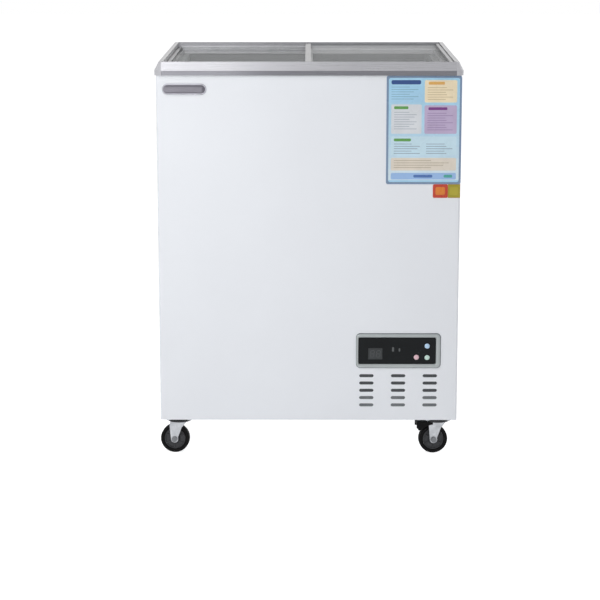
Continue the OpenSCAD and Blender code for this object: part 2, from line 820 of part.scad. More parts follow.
module grille_screw_places() {
    for (x = grille_screw_x, z = grille_screw_z) translate([x, z]) children();
}

module rear_grille() {
    w = body_w / 2 - sheet_t - seat_gap - (comp_x + seat_gap);
    color([0.72, 0.74, 0.76]) front_plate(back_y - sheet_t, sheet_t) difference() {
        translate([comp_x + seat_gap, z_base + seat_gap]) square([w, comp_h - 2 * seat_gap]);
        for (x = [-1, 1], k = [0:grille_rows - 1]) {
            if (!(x == 1 && k < 2)) {
                translate([mid_x + x * grille_dx, z_base + grille_z + k * grille_dz])
                    slot_plan(grille_slot_w, grille_slot_h);
            }
        }
        grille_screw_places() circle(d = 4.4, $fn = 24);
        translate([gland_x, gland_z]) circle(r = gland_r + seat_gap, $fn = 32);
    }
}

module grille_screws() {
    color([0.6, 0.6, 0.62])
        for (x = grille_screw_x, z = grille_screw_z) {
            translate([x, back_y - sheet_t, z]) rotate([-90, 0, 0]) rotate_extrude($fn = 24) polygon([
                [0, 0], [2, 0], [2, sheet_t], [4, sheet_t],
                [4, sheet_t + 1.1], [2.6, sheet_t + 2.2], [0, sheet_t + 2.2]]);
        }
}

module cord_gland() {
    color([0.1, 0.1, 0.1]) translate([gland_x, back_y, gland_z]) rotate([-90, 0, 0])
        rotate_extrude($fn = 32) polygon([
            [gland_bore, -gland_in], [gland_r, -gland_in], [gland_r, 0], [gland_lip_r, 0],
            [gland_lip_r, gland_out / 2], [gland_lip_r - gland_out / 2, gland_out], [gland_bore, gland_out]]);
}

module compressor() {
    r = shell_r;
    h = comp_shell_h;
    dome = 34;
    lip = 4;
    lip_z = flange_z - shell_z;
    bowl = 26;
    root = 3;
    color([0.13, 0.13, 0.14]) {
        translate([mid_x, shell_y, shell_z]) rotate_extrude($fn = 72) polygon(concat(
            [[0, 0]],
            [for (i = [0:6]) [r - bowl + bowl * sin(i * 15), bowl - bowl * cos(i * 15)]],
            [[r, lip_z], [r + lip, lip_z], [r + lip, lip_z + lip], [r, lip_z + lip]],
            [for (i = [0:6]) [r - dome + dome * cos(i * 15), h - dome + dome * sin(i * 15)]],
            [[0, h]]));
        translate([mid_x + r - root, shell_y, discharge_z]) rotate([0, 90, 0])
            cylinder(h = root + stub_len, d = tube_d, $fn = 24);
        translate([mid_x - r + root, shell_y, suction_z]) rotate([0, -90, 0])
            cylinder(h = root + stub_len, d = tube_d, $fn = 24);
    }
}

discharge_z = shell_z + discharge_dz;
suction_z = flange_z + suction_dz;

module compressor_feet() {
    color([0.2, 0.2, 0.21]) difference() {
        translate([mid_x, shell_y, foot_z]) linear_extrude(foot_t)
            round_plan(2 * (grommet_dx + foot_edge_x), 2 * (grommet_dy + foot_edge_y), foot_edge_y - 1);
        for (x = [-1, 1], y = [-1, 1]) {
            translate([mid_x + x * grommet_dx, shell_y + y * grommet_dy, foot_z - 1])
                cylinder(h = foot_t + 2, d = grommet_d, $fn = 32);
        }
    }
    neck = grommet_d / 2 - seat_gap;
    top = foot_lift + foot_t + seat_gap;
    for (x = [-1, 1], y = [-1, 1]) {
        color([0.08, 0.08, 0.08]) translate([mid_x + x * grommet_dx, shell_y + y * grommet_dy, z_pan])
            rotate_extrude($fn = 32) polygon([
                [grommet_bore, 0], [grommet_r, 0],
                [grommet_r, foot_lift - seat_gap], [neck, foot_lift - seat_gap],
                [neck, top], [grommet_r, top], [grommet_r, top + foot_t], [grommet_bore, top + foot_t]]);
    }
}

module terminal_box() {
    w = 64;
    h = 58;
    d = 30;
    y0 = shell_y + shell_r - 6;
    color([0.16, 0.16, 0.17]) difference() {
        translate([mid_x - w / 2, y0, shell_z + 18]) cube([w, d, h]);
        translate([mid_x, shell_y, shell_z]) cylinder(h = comp_shell_h, r = shell_r + turn_gap, $fn = 72);
    }
}

// Condenser tube centres on the side view: y offset by column, z by row
function tube_y(c) = coil_y + (c == 0 ? -1 : 1) * col_dy / 2;
function tube_z(k) = first_row_z + k * row_dz;

module condenser_fins() {
    pitch = (coil_w - 2 * end_plate_t) / (fin_count + 1);
    color([0.8, 0.81, 0.82]) {
        for (i = [0:fin_count + 1]) {
            last = i == 0 || i == fin_count + 1;
            t = last ? end_plate_t : fin_t;
            x = i == fin_count + 1 ? mid_x + coil_w / 2 - end_plate_t
                : mid_x - coil_w / 2 + (i == 0 ? 0 : end_plate_t + i * pitch - fin_t / 2);
            z0 = last ? z_pan : coil_z;
            translate([x, coil_y, 0]) rotate([90, 0, 90]) linear_extrude(t) difference() {
                translate([-fin_d / 2, z0]) square([fin_d, coil_z + coil_h - z0]);
                for (c = [0:1], k = [0:tube_rows - 1]) {
                    translate([tube_y(c) - coil_y, tube_z(k)]) circle(d = tube_d + 2 * seat_gap, $fn = 24);
                }
            }
        }
    }
}

// The serpentine: down the front column and up the back one, from and to the top right
module condenser_tubes() {
    xr = mid_x + coil_w / 2 + tube_end;
    xl = mid_x - coil_w / 2 - tube_end;
    top = tube_rows - 1;
    front = [for (k = [top:-1:0]) each
        (top - k) % 2 == 0 ? [[k == top ? xr - bend_r : xr, tube_y(0), tube_z(k)], [xl, tube_y(0), tube_z(k)]]
            : [[xl, tube_y(0), tube_z(k)], [xr, tube_y(0), tube_z(k)]]];
    rear = [for (k = [0:top]) each
        k % 2 == 0 ? [[xl, tube_y(1), tube_z(k)], [k == top ? xr - bend_r : xr, tube_y(1), tube_z(k)]]
            : [[xr, tube_y(1), tube_z(k)], [xl, tube_y(1), tube_z(k)]]];
    color([0.72, 0.45, 0.3]) tube_run(concat(front, rear), tube_d / 2, bend_r);
}

module fan_shroud() {
    t = shroud_t;
    h = coil_h + coil_lift;
    color([0.3, 0.31, 0.32]) difference() {
        translate([mid_x - coil_w / 2, coil_back_y + turn_gap, z_pan])
            cube([coil_w, shroud_d + t - turn_gap, h]);
        translate([mid_x - coil_w / 2 + t, coil_back_y, z_pan + t])
            cube([coil_w - 2 * t, shroud_d, h - 2 * t]);
        translate([mid_x, shroud_y - 1, fan_z]) rotate([-90, 0, 0])
            cylinder(h = t + 2, r = fan_d / 2 + ring_gap, $fn = 72);
    }
}

module fan_rotor() {
    r0 = hub_d / 2 - 1;
    r1 = fan_d / 2;
    blade_len = r1 - r0 + hub_d / 2;
    blade_w = 24;
    blade_t = 1.6;
    color([0.55, 0.56, 0.58]) translate([mid_x, fan_y, fan_z]) rotate([-90, 0, 0]) {
        cylinder(h = fan_depth, d = hub_d, $fn = 48);
        translate([0, 0, fan_depth - eps]) cylinder(h = shaft_len + eps, d = shaft_d, $fn = 24);
        intersection() {
            union() {
                for (i = [0:fan_blades_n - 1]) {
                    rotate(i * 360 / fan_blades_n) translate([(r0 + r1) / 2, 0, fan_depth / 2])
                        rotate([blade_pitch, 0, 0]) cube([blade_len, blade_w, blade_t], center = true);
                }
            }
            difference() {
                translate([0, 0, 0.5]) cylinder(h = fan_depth - 1, r = r1, $fn = 72);
                translate([0, 0, -1]) cylinder(h = fan_depth + 2, r = r0, $fn = 48);
            }
        }
    }
}

module fan_motor() {
    arm = 10;
    arm_t = 2;
    arm_x = fan_d / 2 + ring_gap + 7;
    arm_y = motor_y + 8;
    foot_y = shroud_y + shroud_t + seat_gap;
    color([0.22, 0.22, 0.23]) translate([mid_x, 0, fan_z]) {
        difference() {
            union() {
                translate([0, motor_y, 0]) rotate([-90, 0, 0]) cylinder(h = motor_len, d = motor_d, $fn = 48);
                translate([-arm_x, arm_y, -arm / 2]) cube([2 * arm_x, arm_t, arm]);
                for (s = [-1, 1]) {
                    translate([s * arm_x - arm_t / 2, foot_y, -arm / 2])
                        cube([arm_t, arm_y + arm_t - foot_y, arm]);
                }
            }
            translate([0, motor_y - 1, 0]) rotate([-90, 0, 0])
                cylinder(h = motor_len - 4, d = shaft_d + 2 * run_gap, $fn = 24);
        }
    }
}

pipe_x = mid_x + coil_w / 2 + tube_end;
pipe_r = tube_d / 2;
drier_z = comp_top - 22;
drier_y0 = shell_y + 40;
drier_len = 90;
capillary_x = comp_x + bulkhead_t + seat_gap;

module refrigerant_pipes() {
    coil_end = pipe_x - bend_r;
    copper = [0.72, 0.45, 0.3];
    color(copper) tube_run([
        [mid_x + shell_r + stub_len, shell_y, discharge_z], [pipe_x, shell_y, discharge_z],
        [pipe_x, shell_y, top_row_z], [pipe_x, tube_y(1), top_row_z],
        [coil_end, tube_y(1), top_row_z]], pipe_r, bend_r);
    color(copper) tube_run([
        [coil_end, tube_y(0), top_row_z], [pipe_x, tube_y(0), top_row_z],
        [pipe_x, tube_y(0), drier_z], [pipe_x, drier_y0, drier_z]], pipe_r, bend_r);
    color(copper) translate([pipe_x, drier_y0, drier_z]) rotate([-90, 0, 0]) rotate_extrude($fn = 32) polygon([
        [0, 0], [pipe_r, 0], [9, 12], [9, drier_len - 12], [3, drier_len], [0, drier_len]]);
    color(copper) tube_run([
        [pipe_x, drier_y0 + drier_len, drier_z], [pipe_x, drier_y0 + drier_len + 24, drier_z],
        [capillary_x, drier_y0 + drier_len + 24, drier_z]], 1.5, bend_r);
    color(copper) tube_run([
        [mid_x - shell_r - stub_len, shell_y, suction_z], [comp_x + 20, shell_y, suction_z],
        [comp_x + 20, shell_y + 100, suction_z], [capillary_x, shell_y + 100, suction_z]], pipe_r, bend_r);
}

module evaporator_tube() {
    level = [for (k = [0:evap_turns - 1]) evap_z0 + k * evap_dz];
    turns = [for (z = level) each [
        [evap_x, evap_riser_y, z], [evap_x, evap_y, z], [-evap_x, evap_y, z], [-evap_x, -evap_y, z],
        [evap_x, -evap_y, z], [evap_x, evap_riser_y, z]]];
    z_end = level[evap_turns - 1] + evap_dz / 2 + 8;
    inlet = [evap_x, evap_riser_y, comp_top + seat_gap];
    outlet = [evap_x, evap_riser_y, z_end];
    color([0.75, 0.76, 0.77]) tube_run(concat([inlet], turns, [outlet]), tube_d / 2, evap_bend);
}

module drain_fittings() {
    z1 = z_base - seat_gap;
    z0 = z1 - collar_t - spout_len;
    lip_z = well_z + drain_flange_t;
    color([0.9, 0.9, 0.9]) translate([drain_x, drain_y, 0]) rotate_extrude($fn = 48) polygon([
        [drain_bore, z0], [drain_r, z0], [drain_r, z1 - collar_t],
        [collar_r, z1 - collar_t], [collar_r, z1], [drain_r, z1],
        [drain_r, well_z + seat_gap], [drain_flange_r, well_z + seat_gap],
        [drain_flange_r, lip_z], [drain_bore, lip_z]]);
}

// Casters

module caster_plates() {
    z = caster_h - plate_t;
    color([0.7, 0.71, 0.73]) caster_places() difference() {
        union() {
            translate([0, 0, z]) linear_extrude(plate_t) round_plan(plate_w, plate_w, 6);
            translate([0, 0, z - race_t + turn_gap]) cylinder(h = race_t, r = crown_r - 2, $fn = 64);
        }
        translate([0, 0, z - race_t - 1])
            cylinder(h = plate_t + race_t + 2, d = king_d + 2 * run_gap, $fn = 32);
        plate_screw_places() translate([0, 0, z - 1]) cylinder(h = plate_t + 2, d = screw_hole, $fn = 24);
    }
}

module king_pins() {
    r = king_d / 2;
    z0 = crown_z - turn_gap - king_head_t;
    color([0.6, 0.61, 0.63]) caster_places() rotate_extrude($fn = 32) polygon([
        [0, z0], [r + 3, z0], [r + 3, z0 + king_head_t], [r, z0 + king_head_t], [r, caster_h], [0, caster_h]]);
}

module caster_screws() {
    z = caster_h - plate_t;
    color([0.62, 0.63, 0.65]) caster_places() plate_screw_places() {
        translate([0, 0, z - screw_head_h]) cylinder(h = screw_head_h, d = screw_head_d, $fn = 6);
        translate([0, 0, z - eps]) cylinder(h = plate_t + pan_t + eps, d = screw_d, $fn = 24);
    }
}

// Outline of a fork leg, x towards the front of the swivel and z up; the leg leans back to the axle
module leg_outline() {
    z1 = crown_z + crown_t / 2;
    polygon([[-19, z1], [17, z1], [16, crown_z - 3], [6, crown_z - 15], [-trail + leg_tip_r - 0.4, axle_z + 4],
        [-trail + leg_tip_r, axle_z], [-trail, axle_z - leg_tip_r / 2], [-trail - leg_tip_r, axle_z],
        [-trail - leg_tip_r - 0.4, axle_z + 4], [-20.5, crown_z - 12]]);
    translate([-trail, axle_z]) circle(r = leg_tip_r, $fn = 48);
}

module fork(i) {
    color([0.74, 0.75, 0.77]) rotate(caster_turn[i]) difference() {
        union() {
            translate([0, 0, crown_z]) cylinder(h = crown_t, r = crown_r, $fn = 64);
            for (y = [-leg_out, leg_in]) front_plate(y, leg_t) leg_outline();
        }
        translate([0, 0, crown_z - 1]) cylinder(h = crown_t + 2, d = king_d + 2 * run_gap, $fn = 32);
        translate([-trail, -leg_out - 1, axle_z]) rotate([-90, 0, 0])
            cylinder(h = 2 * leg_out + 2, d = axle_d + 2 * run_gap, $fn = 32);
        if (i == 1) {
            translate([ped_pin[0], -leg_out - 1, ped_pin[1]]) rotate([-90, 0, 0])
                cylinder(h = 2 * leg_out + 2, d = ped_pin_d + 2 * run_gap, $fn = 24);
        }
    }
}

module axle(i) {
    color([0.66, 0.67, 0.69]) rotate(caster_turn[i]) translate([-trail, 0, axle_z]) rotate([90, 0, 0]) {
        translate([0, 0, -leg_out - 5]) cylinder(h = 2 * leg_out + 5 + eps, d = axle_d, $fn = 32);
        translate([0, 0, leg_out + seat_gap]) cylinder(h = 3.5, d = 12.5, $fn = 32);
        translate([0, 0, leg_out]) cylinder(h = 1, d = axle_d, $fn = 32);
        translate([0, 0, -leg_out - seat_gap - 4]) cylinder(h = 4, d = 13, $fn = 6);
    }
}

module wheel(i) {
    r = wheel_d / 2;
    w = wheel_w / 2;
    round_r = 5;
    hub_w = leg_in - turn_gap;
    color([0.1, 0.1, 0.11]) rotate(caster_turn[i]) translate([-trail, 0, axle_z]) rotate([90, 0, 0])
        rotate_extrude($fn = 96) difference() {
            union() {
                translate([0, -w]) square([r - round_r, 2 * w]);
                translate([0, -w + round_r]) square([r, 2 * w - 2 * round_r]);
                for (s = [-1, 1]) translate([r - round_r, s * (w - round_r)]) circle(r = round_r, $fn = 32);
                translate([0, -hub_w]) square([9, 2 * hub_w]);
            }
            translate([-1, -hub_w - 1]) square([1 + axle_d / 2 + run_gap, 2 * hub_w + 2]);
            for (s = [-1, 1]) translate([11, s > 0 ? w - 3 : -w - 1]) square([11, 4]);
        }
}

module brake_pedal() {
    x_far = -48;
    top = crown_z - 1;
    color([0.08, 0.08, 0.09]) translate([caster_x, -caster_y, 0]) rotate(caster_turn[1]) difference() {
        union() {
            front_plate(-cheek_out, 2 * cheek_out) polygon([
                [x_far, top - 7], [x_far, top], [-27, top], [-27, top - 4], [-40, top - 5]]);
            for (y = [-cheek_out, cheek_in]) front_plate(y, cheek_t) polygon([
                [x_far, top], [-12, top], [-12, top - 7], [-22, top - 13], [-36, top - 16], [x_far, top - 14]]);
            front_plate(-cheek_in - eps, 2 * cheek_in + 2 * eps)
                polygon([[-43, top - 1], [-30, top - 1], [-30, top - 12], [-43, top - 20]]);
            translate([ped_pin[0], -cheek_out, ped_pin[1]]) rotate([-90, 0, 0])
                cylinder(h = 2 * cheek_out, d = ped_pin_d, $fn = 24);
        }
        translate([-trail, -cheek_out - 1, axle_z]) rotate([-90, 0, 0])
            cylinder(h = 2 * cheek_out + 2, r = wheel_d / 2 + shoe_gap, $fn = 96);
    }
}

module at_caster(i) {
    translate([(i % 2 == 0 ? -1 : 1) * caster_x, (i < 2 ? -1 : 1) * caster_y, 0]) children();
}

module front_left_fork() { at_caster(0) fork(0); }
module front_left_axle() { at_caster(0) axle(0); }
module front_left_wheel() { at_caster(0) wheel(0); }
module front_right_fork() { at_caster(1) fork(1); }
module front_right_axle() { at_caster(1) axle(1); }
module front_right_wheel() { at_caster(1) wheel(1); }
module rear_left_fork() { at_caster(2) fork(2); }
module rear_left_axle() { at_caster(2) axle(2); }
module rear_left_wheel() { at_caster(2) wheel(2); }
module rear_right_fork() { at_caster(3) fork(3); }
module rear_right_axle() { at_caster(3) axle(3); }
module rear_right_wheel() { at_caster(3) wheel(3); }

outer_wrap();
back_panel();
base_pan();
foam_insulation();
inner_tank();
mouth_strip();
front_rail();
back_rail();
left_rail();
right_rail();
corner_caps();
left_lid_glass();
left_lid_end_trim();
left_lid_inner_trim();
right_lid_glass();
right_lid_end_trim();
right_lid_inner_trim();
lid_wiper();
panel_bezel();
panel_face();
display_window();
upper_button();
lower_right_button();
lower_left_button();
control_board();
panel_tub();
badge_plate();
info_sheet();
colour_tabs();
bulkhead();
rear_grille();
grille_screws();
cord_gland();
compressor();
compressor_feet();
terminal_box();
condenser_fins();
condenser_tubes();
fan_shroud();
fan_motor();
fan_rotor();
refrigerant_pipes();
evaporator_tube();
drain_fittings();
caster_plates();
king_pins();
front_left_fork();
front_left_axle();
front_left_wheel();
front_right_fork();
front_right_axle();
front_right_wheel();
brake_pedal();
rear_left_fork();
rear_left_axle();
rear_left_wheel();
rear_right_fork();
rear_right_axle();
rear_right_wheel();
caster_screws();
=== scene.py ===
"""A display freezer on castors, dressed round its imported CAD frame.

Shapes are worked out in millimetres, in the frame of the CAD: the origin is on the floor under the
middle of the cabinet, its front looks towards -Y, +X is to the right and +Z is up.
"""

import json
import math

import bpy
import numpy as np
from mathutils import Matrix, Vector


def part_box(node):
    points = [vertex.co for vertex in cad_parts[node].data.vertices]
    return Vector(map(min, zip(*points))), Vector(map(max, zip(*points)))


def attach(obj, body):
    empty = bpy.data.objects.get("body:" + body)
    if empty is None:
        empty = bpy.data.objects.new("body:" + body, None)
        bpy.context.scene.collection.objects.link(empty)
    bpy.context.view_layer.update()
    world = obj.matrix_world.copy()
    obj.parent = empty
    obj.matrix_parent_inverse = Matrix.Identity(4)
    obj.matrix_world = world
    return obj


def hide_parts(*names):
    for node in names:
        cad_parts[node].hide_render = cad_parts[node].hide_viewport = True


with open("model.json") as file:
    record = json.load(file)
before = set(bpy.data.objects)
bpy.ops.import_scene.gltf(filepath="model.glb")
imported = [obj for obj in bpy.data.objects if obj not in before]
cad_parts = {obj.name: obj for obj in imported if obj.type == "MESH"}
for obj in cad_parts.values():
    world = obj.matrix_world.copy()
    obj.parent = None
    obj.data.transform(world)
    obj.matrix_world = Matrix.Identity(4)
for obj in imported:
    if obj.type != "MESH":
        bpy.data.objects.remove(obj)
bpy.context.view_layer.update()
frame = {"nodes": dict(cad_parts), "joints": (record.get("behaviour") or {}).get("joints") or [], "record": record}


def box_mm(node):
    """The lowest and the highest corner of a CAD node at rest, in mm."""
    return np.round(1000 * np.array([list(corner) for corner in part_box(node)]), 3)


def middle(node):
    """X and Z of the middle of a CAD node, in mm."""
    return box_mm(node).mean(axis=0)[[0, 2]]


FACE_Y = box_mm("outer_wrap")[0, 1]  # the cabinet's front face
BACK_Y = box_mm("outer_wrap")[1, 1]  # the cabinet's back face
BLACK_FACE_Y = box_mm("panel_face")[0, 1]  # the control panel's black face
WINDOW_Y = box_mm("display_window")[0, 1]  # the display window's front
SHEET_Y = box_mm("info_sheet")[0, 1]  # the information sheet's front
CASTORS = ("front_left", "front_right", "rear_left", "rear_right")
joints = {joint["name"]: joint for joint in frame["joints"]}


# Shaders


def linear(code):
    """sRGB hex to a linear colour with alpha 1, by the sRGB curve."""
    level = np.array([int(code[k : k + 2], 16) for k in (1, 3, 5)]) / 255
    low = level / 12.92
    return (*np.where(level <= 0.04045, low, ((level + 0.055) / 1.055) ** 2.4), 1.0)


def add(tree, kind, settings=(), inputs=()):
    """Adds a node with its settings; an input that is a socket is linked, any other is a constant."""
    node = tree.nodes.new(kind)
    for key, value in dict(settings).items():
        setattr(node, key, value)
    for key, value in dict(inputs).items():
        if isinstance(value, bpy.types.NodeSocket):
            tree.links.new(value, node.inputs[key])
        else:
            node.inputs[key].default_value = value
    return node


def spangle(tree, place):
    """The zinc crystals of a hot-dipped sheet: each cell has a level of its own."""
    scattered = {"Vector": place, "Scale": 1.0, "Randomness": 1.0}
    cells = add(tree, "ShaderNodeTexVoronoi", {}, scattered).outputs["Color"]
    return add(tree, "ShaderNodeSeparateColor", {}, {"Color": cells}).outputs[0]


def pebbles(tree, place):
    """Rounded bumps side by side, as stucco embossing or foam cells leave them: high in their middles."""
    smooth = {"feature": "SMOOTH_F1"}
    cells = add(tree, "ShaderNodeTexVoronoi", smooth, {"Vector": place, "Scale": 1.0})
    turned_over = {"Value": cells.outputs["Distance"], "To Min": 1.0, "To Max": 0.0}
    return add(tree, "ShaderNodeMapRange", {}, turned_over).outputs[0]


def tracks(tree, place):
    """Copper tracks under green solder mask: straight runs that step from lane to lane."""
    runs = {"offset": 0.3, "squash": 0.7}
    gaps = {"Vector": place, "Scale": 1.0, "Mortar Size": 0.12, "Mortar Smooth": 0.3}
    return add(tree, "ShaderNodeTexBrick", runs, gaps).outputs["Fac"]


def net(tree, place):
    """A woven net: square openings side by side, high along the threads between them."""
    square = {"distance": "CHEBYCHEV"}
    regular = {"Vector": place, "Scale": 1.0, "Randomness": 0.0}
    cells = add(tree, "ShaderNodeTexVoronoi", square, regular)
    raised = {"Value": cells.outputs["Distance"], "To Max": 2.0}
    return add(tree, "ShaderNodeMapRange", {}, raised).outputs[0]


def finish(
    name, tones, rough, grain, depth, cloud=90.0, streak=0.0, pattern=None, ink=False, painted_shades=(),
    drawn=None, **constants
):
    """A real material. Its colour wanders between two tones, and its roughness between two values, over
    clouds of the size cloud in mm. Its relief has the size grain in mm along X, Y and Z, and the height
    depth in mm. streak is the share of the fine pattern in the colour. ink says that the mesh's own
    attribute ink tints it. Each painted shade is an axis, a distance and a height in mm, and a colour:
    as painted shade, the surface is multiplied by the colour where it lies farther out than the
    distance along the axis and lower than the height. drawn is the axis along which an extrusion was
    drawn: with the constant Anisotropic, its gloss is wide across that axis and narrow along it.
    constants go on the shader's own sockets.
    """
    multiply = {"data_type": "RGBA", "blend_type": "MULTIPLY"}
    material = bpy.data.materials.new(name)
    material.use_nodes = True
    tree = material.node_tree
    tree.nodes.clear()
    place = add(tree, "ShaderNodeTexCoord").outputs["Object"]
    per_metre = [1000 / size for size in grain]
    sized = add(tree, "ShaderNodeMapping", {}, {"Vector": place, "Scale": per_metre}).outputs[0]
    if pattern:
        fine = pattern(tree, sized)
    else:
        small = {"Vector": sized, "Scale": 1.0, "Detail": 2.0}
        fine = add(tree, "ShaderNodeTexNoise", {}, small).outputs["Fac"]
    large = {"Vector": place, "Scale": 1000 / cloud, "Detail": 3.0}
    broad = add(tree, "ShaderNodeTexNoise", {}, large).outputs["Fac"]
    mixed = add(
        tree, "ShaderNodeMix", {"data_type": "FLOAT"}, {0: streak, 2: broad, 3: fine}
    ).outputs[0]
    share = add(
        tree, "ShaderNodeMapRange", {}, {"Value": mixed, "From Min": 0.3, "From Max": 0.7}
    ).outputs[0]
    first, second = (linear(tone) for tone in tones)
    colour = add(
        tree, "ShaderNodeMix", {"data_type": "RGBA"}, {0: share, 6: first, 7: second}
    ).outputs[2]
    if ink:
        printed = add(tree, "ShaderNodeAttribute", {"attribute_name": "ink"}).outputs["Color"]
        colour = add(tree, "ShaderNodeMix", multiply, {0: 1.0, 6: printed, 7: colour}).outputs[2]
    # Painted shade: the colour is darkened where the surface lies far out and low
    for axis, far, high, shade_tone in painted_shades:
        spot = add(tree, "ShaderNodeSeparateXYZ", {}, {"Vector": place}).outputs
        off = add(tree, "ShaderNodeMath", {"operation": "ABSOLUTE"}, {0: spot[axis]}).outputs[0]
        outside = add(
            tree, "ShaderNodeMath", {"operation": "GREATER_THAN"}, {0: off, 1: far / 1000}
        ).outputs[0]
        low = add(
            tree, "ShaderNodeMath", {"operation": "LESS_THAN"}, {0: spot["Z"], 1: high / 1000}
        ).outputs[0]
        where = add(
            tree, "ShaderNodeMath", {"operation": "MULTIPLY"}, {0: outside, 1: low}
        ).outputs[0]
        colour = add(
            tree, "ShaderNodeMix", multiply, {0: where, 6: colour, 7: linear(shade_tone)}
        ).outputs[2]
    gloss = add(
        tree, "ShaderNodeMapRange", {}, {"Value": share, "To Min": rough[0], "To Max": rough[1]}
    )
    bump = add(tree, "ShaderNodeBump", {}, {"Height": fine, "Distance": depth / 1000})
    inputs = {"Base Color": colour, "Roughness": gloss.outputs[0], "Normal": bump.outputs[0]}
    inputs.update({key.replace("_", " "): value for key, value in constants.items()})
    if drawn:
        radial = {"direction_type": "RADIAL", "axis": drawn}
        inputs["Tangent"] = add(tree, "ShaderNodeTangent", radial).outputs[0]
    shader = add(tree, "ShaderNodeBsdfPrincipled", {}, inputs)
    add(tree, "ShaderNodeOutputMaterial", {}, {"Surface": shader.outputs[0]})
    return material


def even(size):
    """The same grain along X, Y and Z."""
    return (size, size, size)


# White polyester powder paint on steel: nearly white, satin, with a faint orange peel 2.5 mm across
paint = finish(
    "polyester_powder_paint", ("#edf0f5", "#ebeef3"), (0.3, 0.32), even(2.5), 0.012, 160,
    Specular_IOR_Level=0.35,
)
# Hot-dip galvanised sheet: zinc crystals 8 mm across, each with its own grey and gloss
galvanised = finish(
    "galvanised_sheet", ("#b2b6b9", "#aaaeb2"), (0.39, 0.43), even(8), 0.004, 120, 0.9, spangle,
    Metallic=1.0,
)
# Blown polyurethane foam: cream, dull, with open cells 1.6 mm across where it was cut
foam = finish(
    "polyurethane_foam", ("#e8dcae", "#dac992"), (0.85, 0.95), even(1.6), 0.3, 40, 0.4, pebbles
)
# Stucco-embossed aluminium sheet: soft grey bumps 5 mm across that break up the reflections in the tank
tank_sheet = finish(
    "stucco_aluminium", ("#dfe1e3", "#d3d6d9"), (0.42, 0.5), even(5), 0.16, 120, 0.2, pebbles,
    Metallic=0.6,
)
# White moulded ABS: smooth and satin, with a fine spark-eroded grain
white_abs = finish("white_moulded_abs", ("#f0f1ef", "#e8e9e7"), (0.35, 0.45), even(0.9), 0.01)
# PVC of the strip round the tank's mouth, in a dark grey that is painted shade, the shade under the glass: dull,
# so that it reads as a dark line under the glass
shaded_pvc = finish("pvc_strip_painted_shade", ("#77797c", "#6d6f72"), (0.5, 0.6), even(1.2), 0.02, 60)
# Anodised aluminium extrusion: fine die lines along its run, drawn coarser than real ones, which are too
# fine to show. They spread the sheen across the run, and a light's edge stays sharp along it
LINES, RUN = 0.8, 90  # how far apart the die lines are, and how far each one runs
DRAWN = 0.95  # anisotropy of the drawn surface
# Painted shade on the extrusion: the outside is painted a shade darker than the tracks, and the lip that hangs
# over the cabinet is painted darker still
OUTSIDE_SHADE, LIP_SHADE = "#d0d0d2", "#aeaeb2"
SLOPE_Y, LIP_Y = 265, 276.4  # how far out the slope and the lip begin on the front and back rails
SLOPE_X, LIP_X = 310, 321.4  # and on the side rails
LIP_TOP, OVER_ALL = 840, 900  # the upper edge of the lip, and a height over the whole rim
rail_x = finish(
    "anodised_extrusion_along_x", ("#dcdcdf", "#d2d2d6"), (0.25, 0.32), (RUN, LINES, LINES), 0.003,
    140, 0.6, painted_shades=(("Y", SLOPE_Y, OVER_ALL, OUTSIDE_SHADE), ("Y", LIP_Y, LIP_TOP, LIP_SHADE)), drawn="X",
    Metallic=0.5, Anisotropic=DRAWN,
)
# Side rails: the same extrusion, with tones painted darker than the front and back rails' as painted shade
shaded_rail_y = finish(
    "anodised_extrusion_along_y_painted_shade", ("#9c9c9f", "#929295"), (0.25, 0.32), (LINES, RUN, LINES), 0.003,
    140, 0.6, painted_shades=(("X", SLOPE_X, OVER_ALL, OUTSIDE_SHADE), ("X", LIP_X, LIP_TOP, LIP_SHADE)), drawn="Y",
    Metallic=0.5, Anisotropic=DRAWN, Specular_IOR_Level=0.1,
)
lid_trim = finish(
    "anodised_lid_trim", ("#8a8a8d", "#808083"), (0.34, 0.42), (LINES, RUN, LINES), 0.003, 140, 0.6,
    drawn="Y", Metallic=0.6, Anisotropic=DRAWN,
)
# Light grey moulded ABS of the corner caps: a little duller than the extrusions they close
cap_abs = finish("grey_moulded_abs", ("#c6c6ca", "#bdbdc2"), (0.38, 0.48), even(0.9), 0.012)
# Toughened glass: grey-green, clear enough to show the tank, with the faint waves its rollers leave
glass = finish(
    "toughened_glass", ("#99a1a0", "#8f9796"), (0.02, 0.05), (40, 300, 40), 0.01, 200, Alpha=0.16,
    Specular_IOR_Level=0.18,
)
# Black EPDM rubber: dull, with a bloom in patches
rubber = finish("black_epdm", ("#1c1c1d", "#29292a"), (0.6, 0.75), even(0.6), 0.02, 30)
# Silver-grey painted ABS: metal flakes under a thin clear coat
silver_abs = finish(
    "silver_painted_abs", ("#a1a7a8", "#969c9d"), (0.3, 0.38), even(0.5), 0.006, 60, 0.5,
    Metallic=0.4, Coat_Weight=0.3,
)
# The same ABS along the moulding's outer edge, in a darker grey that is painted shade: a shadow line round the
# panel
edge_shade_abs = finish("abs_edge_painted_shade", ("#70777a", "#666d70"), (0.4, 0.5), even(0.9), 0.01, 60)
# Black printed acrylic: deep, with a glassy face
acrylic = finish(
    "black_acrylic", ("#070b0e", "#0c1114"), (0.05, 0.09), even(20), 0.004, 60,
    Specular_IOR_Level=0.13,
)
# Smoked acrylic window: a lighter, milky grey behind the gloss
smoked = finish(
    "smoked_acrylic", ("#333638", "#3a3d3f"), (0.14, 0.2), even(6), 0.003, 20, Specular_IOR_Level=0.2
)
# An unlit segment behind the smoked window, a shade lighter than it
unlit = finish("unlit_segments", ("#484c4e", "#414547"), (0.2, 0.26), even(2), 0.002, 10)
# Glossy ABS push buttons, tinted pale blue, green and pink
BUTTON_TONES = {
    "blue": ("#b4d4f0", "#a8cae8"),
    "green": ("#c9e6dc", "#bedccf"),
    "pink": ("#e4bcc6", "#dab0bb"),
}
button_abs = {
    tint: finish(f"pale_{tint}_abs", tones, (0.12, 0.18), even(3), 0.004, 8, Coat_Weight=0.6)
    for tint, tones in BUTTON_TONES.items()
}
